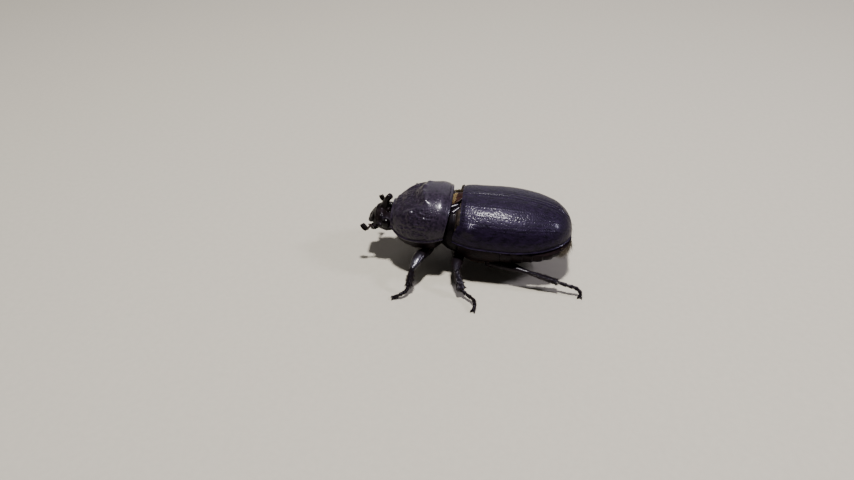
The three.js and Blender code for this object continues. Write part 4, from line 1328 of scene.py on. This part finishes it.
def tibia(name):
    """Digging shin with its outer teeth and its inner spurs."""
    knee, ankle = knee_and_ankle(name)
    run = ankle - knee
    ahead = run / np.linalg.norm(run)
    outer = level_side(knee, ankle) * (-1 if name.endswith("left") else 1)
    parts = [tube(tibia_rings(name))]
    for t, across, forward in segment(name, "teeth"):
        base = knee + run * t * SPINE_RUN + outer * across * 0.2
        tip = knee + run * t * SPINE_RUN + outer * across + ahead * forward
        parts.append(thorn(base, tip, TOOTH_RADIUS, bend=-ahead * 0.12))
    for t, across, forward in segment(name, "spurs"):
        base = knee + run * t * SPINE_RUN + outer * across * 0.5
        tip = knee + run * t * SPINE_RUN + outer * across + ahead * forward
        parts.append(thorn(base, tip, SPUR_RADIUS, bend=outer * across * 0.12))
    skin, faces, out = remeshed(parts, 0.055, smoothing=3)
    height = 0.06 * ripple(skin, 0.4, 141) - 0.06 * pits(skin, 0.36, 0.14, 142)
    return piece(f"{name}_shin", (skin + out * height[:, None], faces), [f"{name}_tibia"],
                 SHIN_CHITIN)


def foot_path(name):
    """Path of the foot from the ankle to the claws."""
    return [LEGS[name]["ankle"]] + LEGS[name]["foot"]


def tarsus(name):
    """Five flared joints and the pair of claws, flat where they rest."""
    path = foot_path(name)
    spans = [(0.0, 0.2), (0.2, 0.38), (0.38, 0.56), (0.56, 0.74), (0.74, 1.0)]
    parts = []
    for start, end in spans:
        at, _ = spline_point(path, np.linspace(start, end, 5))
        parts.append(limb(at, FOOT_JOINT, (0, 0, 1), sides=28, spans=14, ends=(0.04, 0.06)))
    end, before = np.array(path[-1]), np.array(path[-2])
    ahead = (end - before) * (1, 1, 0)
    ahead /= np.linalg.norm(ahead)
    aside = np.cross(ahead, (0, 0, 1))
    for sign in (-1, 1):
        bend = end + ahead * 0.35 + aside * sign * CLAW_SPREAD * 0.7
        tip = end + ahead * CLAW_REACH + aside * sign * CLAW_SPREAD
        bend[2], tip[2] = 0.42, 0.05
        parts.append(limb([end, bend, tip], CLAW, aside, sides=18, spans=18,
                          ends=(0.08, 0.03)))
    points, faces = joined(parts)
    points[:, 2] = np.maximum(points[:, 2], 0.0)
    return piece(f"{name}_foot", (points, faces), [f"{name}_tarsus"],
                 FOOT_CHITIN)


# ------------------------------------------------------------------ setae

TUFT_PATCH = 0.003          # size of each seta's own patch on the coat's flat map
ROOT_DEPTH = 0.05           # how far each seta starts below the surface
FLOOR_GAP = 0.03 * MM       # bristles of the feet lie at least this high over the floor
SETA_LEVELS = (0.0, 0.4, 0.75)      # where the three rings of a seta stand along it
SETA_TAPER = (1.0, 0.8, 0.5)        # and how thick it is there


def strand_mesh(roots, ways, lean, lengths, width):
    """Tapered three-sided setae that leave their roots along `ways` and bend to `lean`."""
    first = np.cross(ways, lean + 0.01)
    first /= np.maximum(np.linalg.norm(first, axis=1, keepdims=True), 1e-9)
    second = np.cross(ways, first)
    lengths = lengths[:, None]
    points = []
    for level, taper in zip(SETA_LEVELS, SETA_TAPER):
        radius = taper * width / 2
        centre = roots + lengths * (ways * level * (1 - 0.35 * level) + lean * level**2 * 0.6)
        for corner in range(3):
            angle = 2 * math.pi * corner / 3
            points.append(centre + radius * (math.cos(angle) * first
                                             + math.sin(angle) * second))
    points.append(roots + lengths * (ways * 0.65 + lean * 0.6))
    points = np.stack(points, 1)
    quads = [(3 * k + i, 3 * k + (i + 1) % 3, 3 * k + 3 + (i + 1) % 3, 3 * k + 3 + i)
             for k in range(2) for i in range(3)]
    tips = [(6 + i, 6 + (i + 1) % 3, 9) for i in range(3)] + [(2, 1, 0)]
    start = 10 * np.arange(len(roots))[:, None, None]
    faces = [(np.array(quads)[None] + start).reshape(-1, 4),
             (np.array(tips)[None] + start).reshape(-1, 3)]
    return points.reshape(-1, 3), faces


def coat(name, batches, material):
    """One piece of many setae; each lies at its root's place on the coat's flat map."""
    points, faces, places, first = [], [], [], 0
    for roots, ways, lean, lengths, width, flat in batches:
        body, body_faces = strand_mesh(roots, ways, lean, lengths, width)
        faces += [group + first for group in body_faces]
        points.append(body)
        first += len(body)
        spot = [(TUFT_PATCH * 0.45 * (1 - 0.25 * level) * math.cos(2 * math.pi * k / 3),
                 TUFT_PATCH * 0.45 * (1 - 0.25 * level) * math.sin(2 * math.pi * k / 3))
                for level in range(3) for k in range(3)] + [(0.0, 0.0)]
        places.append((flat[:, None] + np.array(spot)[None]).reshape(-1, 2))
    item = mesh_object(name, np.concatenate(points) + ORIGIN, faces)
    corner = np.empty(len(item.data.loops), np.int32)
    item.data.loops.foreach_get("vertex_index", corner)
    layer = item.data.uv_layers.new(name="OFBake")
    layer.data.foreach_set("uv", np.concatenate(places)[corner].ravel())
    return finish_piece(item, [], material)


def on_rings(rings, row, column):
    """Point and outward normal of a ring stack at fractional rows and columns."""
    normal = outward(rings)
    count = rings.shape[1]
    low, left = np.floor(row).astype(int), np.floor(column).astype(int)
    low = np.clip(low, 0, len(rings) - 2)
    a, b = (row - low)[:, None], (column - left)[:, None]
    out = []
    for grid in (rings, normal):
        near = grid[low, left % count] * (1 - b) + grid[low, (left + 1) % count] * b
        far = grid[low + 1, left % count] * (1 - b) + grid[low + 1, (left + 1) % count] * b
        out.append(near * (1 - a) + far * a)
    n = out[1] / np.maximum(np.linalg.norm(out[1], axis=1, keepdims=True), 1e-9)
    return out[0], n


def grown(rings, chance, count, lengths, width, lean, stand, tile, random):
    """Setae over a ring stack. chance(points) is how likely one grows, and they are
    shorter where it is low. lean is the direction they lie in, stand how far they stand
    off the surface, and tile (left, low, size) the part of the flat map that the stack
    unrolls onto."""
    row = random.uniform(0, len(rings) - 1.001, count)
    column = random.uniform(0, rings.shape[1], count)
    at, normal = on_rings(rings, row, column)
    likely = np.clip(chance(at), 0, 1)
    keep = random.uniform(0, 1, count) < likely
    at, normal, row, column, likely = (v[keep] for v in (at, normal, row, column, likely))
    number = len(at)
    lie = np.broadcast_to(np.asarray(lean, float), at.shape)
    lie = lie - normal * (lie * normal).sum(axis=1, keepdims=True)
    lie /= np.maximum(np.linalg.norm(lie, axis=1, keepdims=True), 1e-9)
    stray = random.normal(0, 0.22, (number, 3))
    ways = normal * stand + lie * (1 - stand) + stray
    ways /= np.linalg.norm(ways, axis=1, keepdims=True)
    size = random.uniform(lengths[0], lengths[1], number) * (0.4 + 0.6 * likely)
    flat = np.stack([tile[0] + tile[2] * column / rings.shape[1],
                     tile[1] + tile[2] * row / len(rings)], -1)
    return at - normal * ROOT_DEPTH, ways, lie + stray * 0.5, size, width, flat


def everywhere(points):
    """Setae grow all over."""
    return np.ones(len(points))


def waist_coat(random):
    """Golden felt on the collar and the front of the scutellum, and the olive fringe on
    the far side of the gap."""
    rings = waist_rings()

    def on_collar(p):
        return smooth(2.1, 1.5, np.abs(p[:, 0])) * (p[:, 2] > 10) * smooth(0.5, 0.1, p[:, 1])

    def on_scutellum(p):
        return smooth(0.5, 0.0, p[:, 1]) * smooth(1.9, 1.3, np.abs(p[:, 0])) * (p[:, 2] > 13.2)

    def on_far_side(p):
        return (smooth(-2.4, -3.0, p[:, 0]) * smooth(-6.0, -4.2, p[:, 0]) * (p[:, 2] > 10.5)
                * smooth(-1.2, -0.6, p[:, 1]))

    collar = grown(rings, on_collar, 12000, (0.5, 0.95), 0.05, (0, 1, 0.35), 0.5,
                   (0.02, 0.02, 0.45), random)
    plate = grown(scutellum_rings(), on_scutellum, 6000, (0.35, 0.7), 0.05, (0, 1, 0.1),
                  0.35, (0.5, 0.02, 0.4), random)
    fringe = grown(rings, on_far_side, 9000, (0.9, 1.7), 0.05, (0, 1, 1), 0.45,
                   (0.02, 0.5, 0.45), random)
    return [coat("waist_golden_setae", [collar, plate], GOLDEN_SETA),
            coat("waist_olive_setae", [fringe], BACKLIT_OLIVE_SETA)]


def belly_coat(random):
    """Rusty setae of the underside, longest on the breast plates and in rows along the
    rear edges of the belly's rings."""
    def on_breast(p):
        return smooth(4.6, 3.4, p[:, 2]) * 0.8

    def in_rows(p):
        return smooth(6.0, 5.0, p[:, 2]) * (0.1 + sternite_steps(p[:, 1]) * 3)

    def on_throat(p):
        return smooth(6.5, 5.2, p[:, 2]) * 0.8

    breast = grown(trunk_rings(METATHORAX, 40), on_breast, 5200, (0.5, 1.1), 0.045,
                   (0, 1, -0.1), 0.3, (0.02, 0.02, 0.3), random)
    rows = grown(trunk_rings(ABDOMEN, 80), in_rows, 7000, (0.3, 0.7), 0.04,
                 (0, 1, -0.1), 0.3, (0.35, 0.02, 0.3), random)
    throat = grown(prosternum_rings(60, 120), on_throat, 3600, (0.4, 1.0), 0.045,
                   (0, 1, -0.2), 0.35, (0.02, 0.35, 0.3), random)
    return coat("underside_rusty_setae", [breast, rows, throat], SHADED_RUSTY_SETA)


def tail_coat(random):
    """Brush of tawny setae on the tail plate and the last of the belly, below the tips of
    the wing cases."""
    def below_tips(p):
        return smooth(8.1, 7.5, p[:, 2]) * smooth(19.6, 23.4, p[:, 1]) ** 1.5

    brush = grown(trunk_rings((19.6, PYGIDIUM[1]), 52), below_tips, 11000, (1.0, 2.8), 0.045,
                  (0, 0.3, -1), 0.32, (0.02, 0.02, 0.4), random)
    return coat("tail_tawny_setae", [brush], TAWNY_SETA)


def head_coat(random):
    """Rusty fringe round the mouth and on the stalks of the feelers."""
    def round_mouth(p):
        return smooth(7.4, 6.8, p[:, 2]) * smooth(-12.5, -14.0, p[:, 1])

    mouth = grown(head_rings(60, 90), round_mouth, 1800, (0.3, 0.8), 0.035,
                  (0, -1, -0.4), 0.4, (0.02, 0.02, 0.4), random)
    chin = grown(limb_rings(MENTUM_PATH, MENTUM_SIZES, (1, 0, 0)),
                 lambda p: 0.8 * everywhere(p), 900, (0.3, 0.8), 0.035,
                 (0, -1, -0.2), 0.5, (0.45, 0.02, 0.2), random)
    batches = [mouth, chin]
    for left, feeler in zip((0.02, 0.27), FEELERS.values()):
        stalk = limb_rings(feeler["stalk"], [(0.3, 0.3), (0.22, 0.22)], (0, 0, 1))
        batches.append(grown(stalk, everywhere, 110, (0.15, 0.35), 0.03,
                             (feeler["side"], -0.5, 0), 0.6, (left, 0.5, 0.2), random))
    return coat("head_rusty_setae", batches, SHADED_RUSTY_SETA)


def edge_rows(across, start, reach):
    """Chance of a bristle: best in the two rows at `reach` across from a limb's middle."""
    def chance(points):
        off = (points - start) @ across
        return 0.10 + 0.9 * bell(np.abs(off), reach, 0.12)
    return chance


def leg_coat(name, random):
    """Rows of stiff bristles along a leg."""
    knee, ankle = knee_and_ankle(name)
    hip = hip_path(name)[-1]
    path = foot_path(name)
    foot_rings = limb_rings(path, [(0.24, 0.24), (0.3, 0.28)], (0, 0, 1))
    thigh = grown(femur_rings(name, 36, 48), edge_rows(level_side(hip, knee), hip, 0.85),
                  900, (0.3, 0.8), 0.04, knee - hip, 0.5, (0.02, 0.02, 0.3), random)
    shin = grown(tibia_rings(name, 30, 48), edge_rows(level_side(knee, ankle), knee, 0.55),
                 900, (0.3, 0.75), 0.045, ankle - knee, 0.5, (0.35, 0.02, 0.3), random)
    foot = grown(foot_rings, lambda p: (p[:, 2] > 0.5) * 1.0, 320, (0.25, 0.6), 0.04,
                 path[-1] - ankle, 0.5, (0.68, 0.02, 0.3), random)
    item = coat(f"{name}_bristles", [thigh, shin, foot], DARK_SETA)
    places = np.empty(len(item.data.vertices) * 3)
    item.data.vertices.foreach_get("co", places)
    places[2::3] = np.maximum(places[2::3], FLOOR_GAP)
    item.data.vertices.foreach_set("co", places)
    return item


# ------------------------------------------------------------------ assembly

elytron(1, "left", 11)
elytron(-1, "right", 14)
pronotum()
scutellum()
prosternum()
metathorax()
abdomen()
pygidium()
waist()
wing_root_plates()
wing_root_skin()
head_shell()
clypeus()
head_horn()
mentum()
for word, side in (("left", 1), ("right", -1)):
    eye(side, word)
    mandible(side, word)
    palp(side, word)
    feeler_stalk(word)
    feeler_club(word)
for leg in LEGS:
    coxa(leg)
    femur(leg)
    tibia(leg)
    tarsus(leg)

seta_draws = np.random.default_rng(7)
for grow in (waist_coat, belly_coat, tail_coat, head_coat):
    grow(seta_draws)
for leg in LEGS:
    leg_coat(leg, seta_draws)


# ------------------------------------------------------------------ studio

LIGHT_TARGET = (0, 4, 8)    # a point in the beetle's body, which every light is turned to
CARD_SIZE = 1.2             # metres


def placed(point):
    """Place in metres in the frame of a point given on the beetle, in millimetres."""
    return Vector((np.asarray(point, float) + ORIGIN) / 1000)


def turned(item, look):
    """Turns a light or the camera so that it looks along a direction."""
    item.rotation_euler = look.to_track_quat("-Z", "Y").to_euler()


def area_light(name, place, size, watts, colour):
    """Round softbox at a place on the beetle's axes, turned to the beetle; its size is in
    metres."""
    light = bpy.data.lights.new(name, "AREA")
    light.shape = "DISK"
    light.size = size
    light.energy = watts
    light.color = linear(colour)[:3]
    item = bpy.data.objects.new(name, light)
    bpy.context.scene.collection.objects.link(item)
    item.location = placed(place)
    turned(item, placed(LIGHT_TARGET) - item.location)


edge = CARD_SIZE / 2
floor_mesh = bpy.data.meshes.new("studio_card")
floor_mesh.from_pydata([(-edge, -edge, 0), (edge, -edge, 0), (edge, edge, 0), (-edge, edge, 0)],
                       [], [(0, 1, 2, 3)])
floor = bpy.data.objects.new("studio_card", floor_mesh)
floor_mesh.materials.append(studio_paper())
bpy.context.scene.collection.objects.link(floor)

# A small bright light overhead, like a high sun; a wide one for the far side's sky; a
# small one behind for the glints along the back; and a weak one in front.
area_light("overhead_softbox", (28, 12, 430), 0.042, 3.8, "#faf7f6")
area_light("far_softbox", (-480, 40, 230), 0.5, 0.64, "#eeeaf3")
area_light("rear_softbox", (-30, 430, 310), 0.07, 1.5, "#f0ecff")
area_light("front_softbox", (-120, -380, 300), 0.25, 0.28, "#f4efec")

world = bpy.data.worlds.new("studio_air")
world.use_nodes = True
backdrop = world.node_tree.nodes["Background"]
backdrop.inputs["Color"].default_value = linear("#efe9ea")
backdrop.inputs["Strength"].default_value = 0.048
bpy.context.scene.world = world

# Camera: where it stands on the beetle's own axes, and the way it looks, in degrees.
CAMERA_AT = (125.552, 9.899, 92.696)
CAMERA_YAW, CAMERA_PITCH = -173.044, -35.281
CAMERA_LENS_MM = 31.19

camera = bpy.data.cameras.new("camera")
camera.lens = CAMERA_LENS_MM
camera.clip_start = 0.01
viewer = bpy.data.objects.new("camera", camera)
bpy.context.scene.collection.objects.link(viewer)
viewer.location = placed(CAMERA_AT)
yaw, pitch = math.radians(CAMERA_YAW), math.radians(CAMERA_PITCH)
look = Vector((math.cos(pitch) * math.cos(yaw), math.cos(pitch) * math.sin(yaw),
               math.sin(pitch)))
turned(viewer, look)
bpy.context.scene.camera = viewer
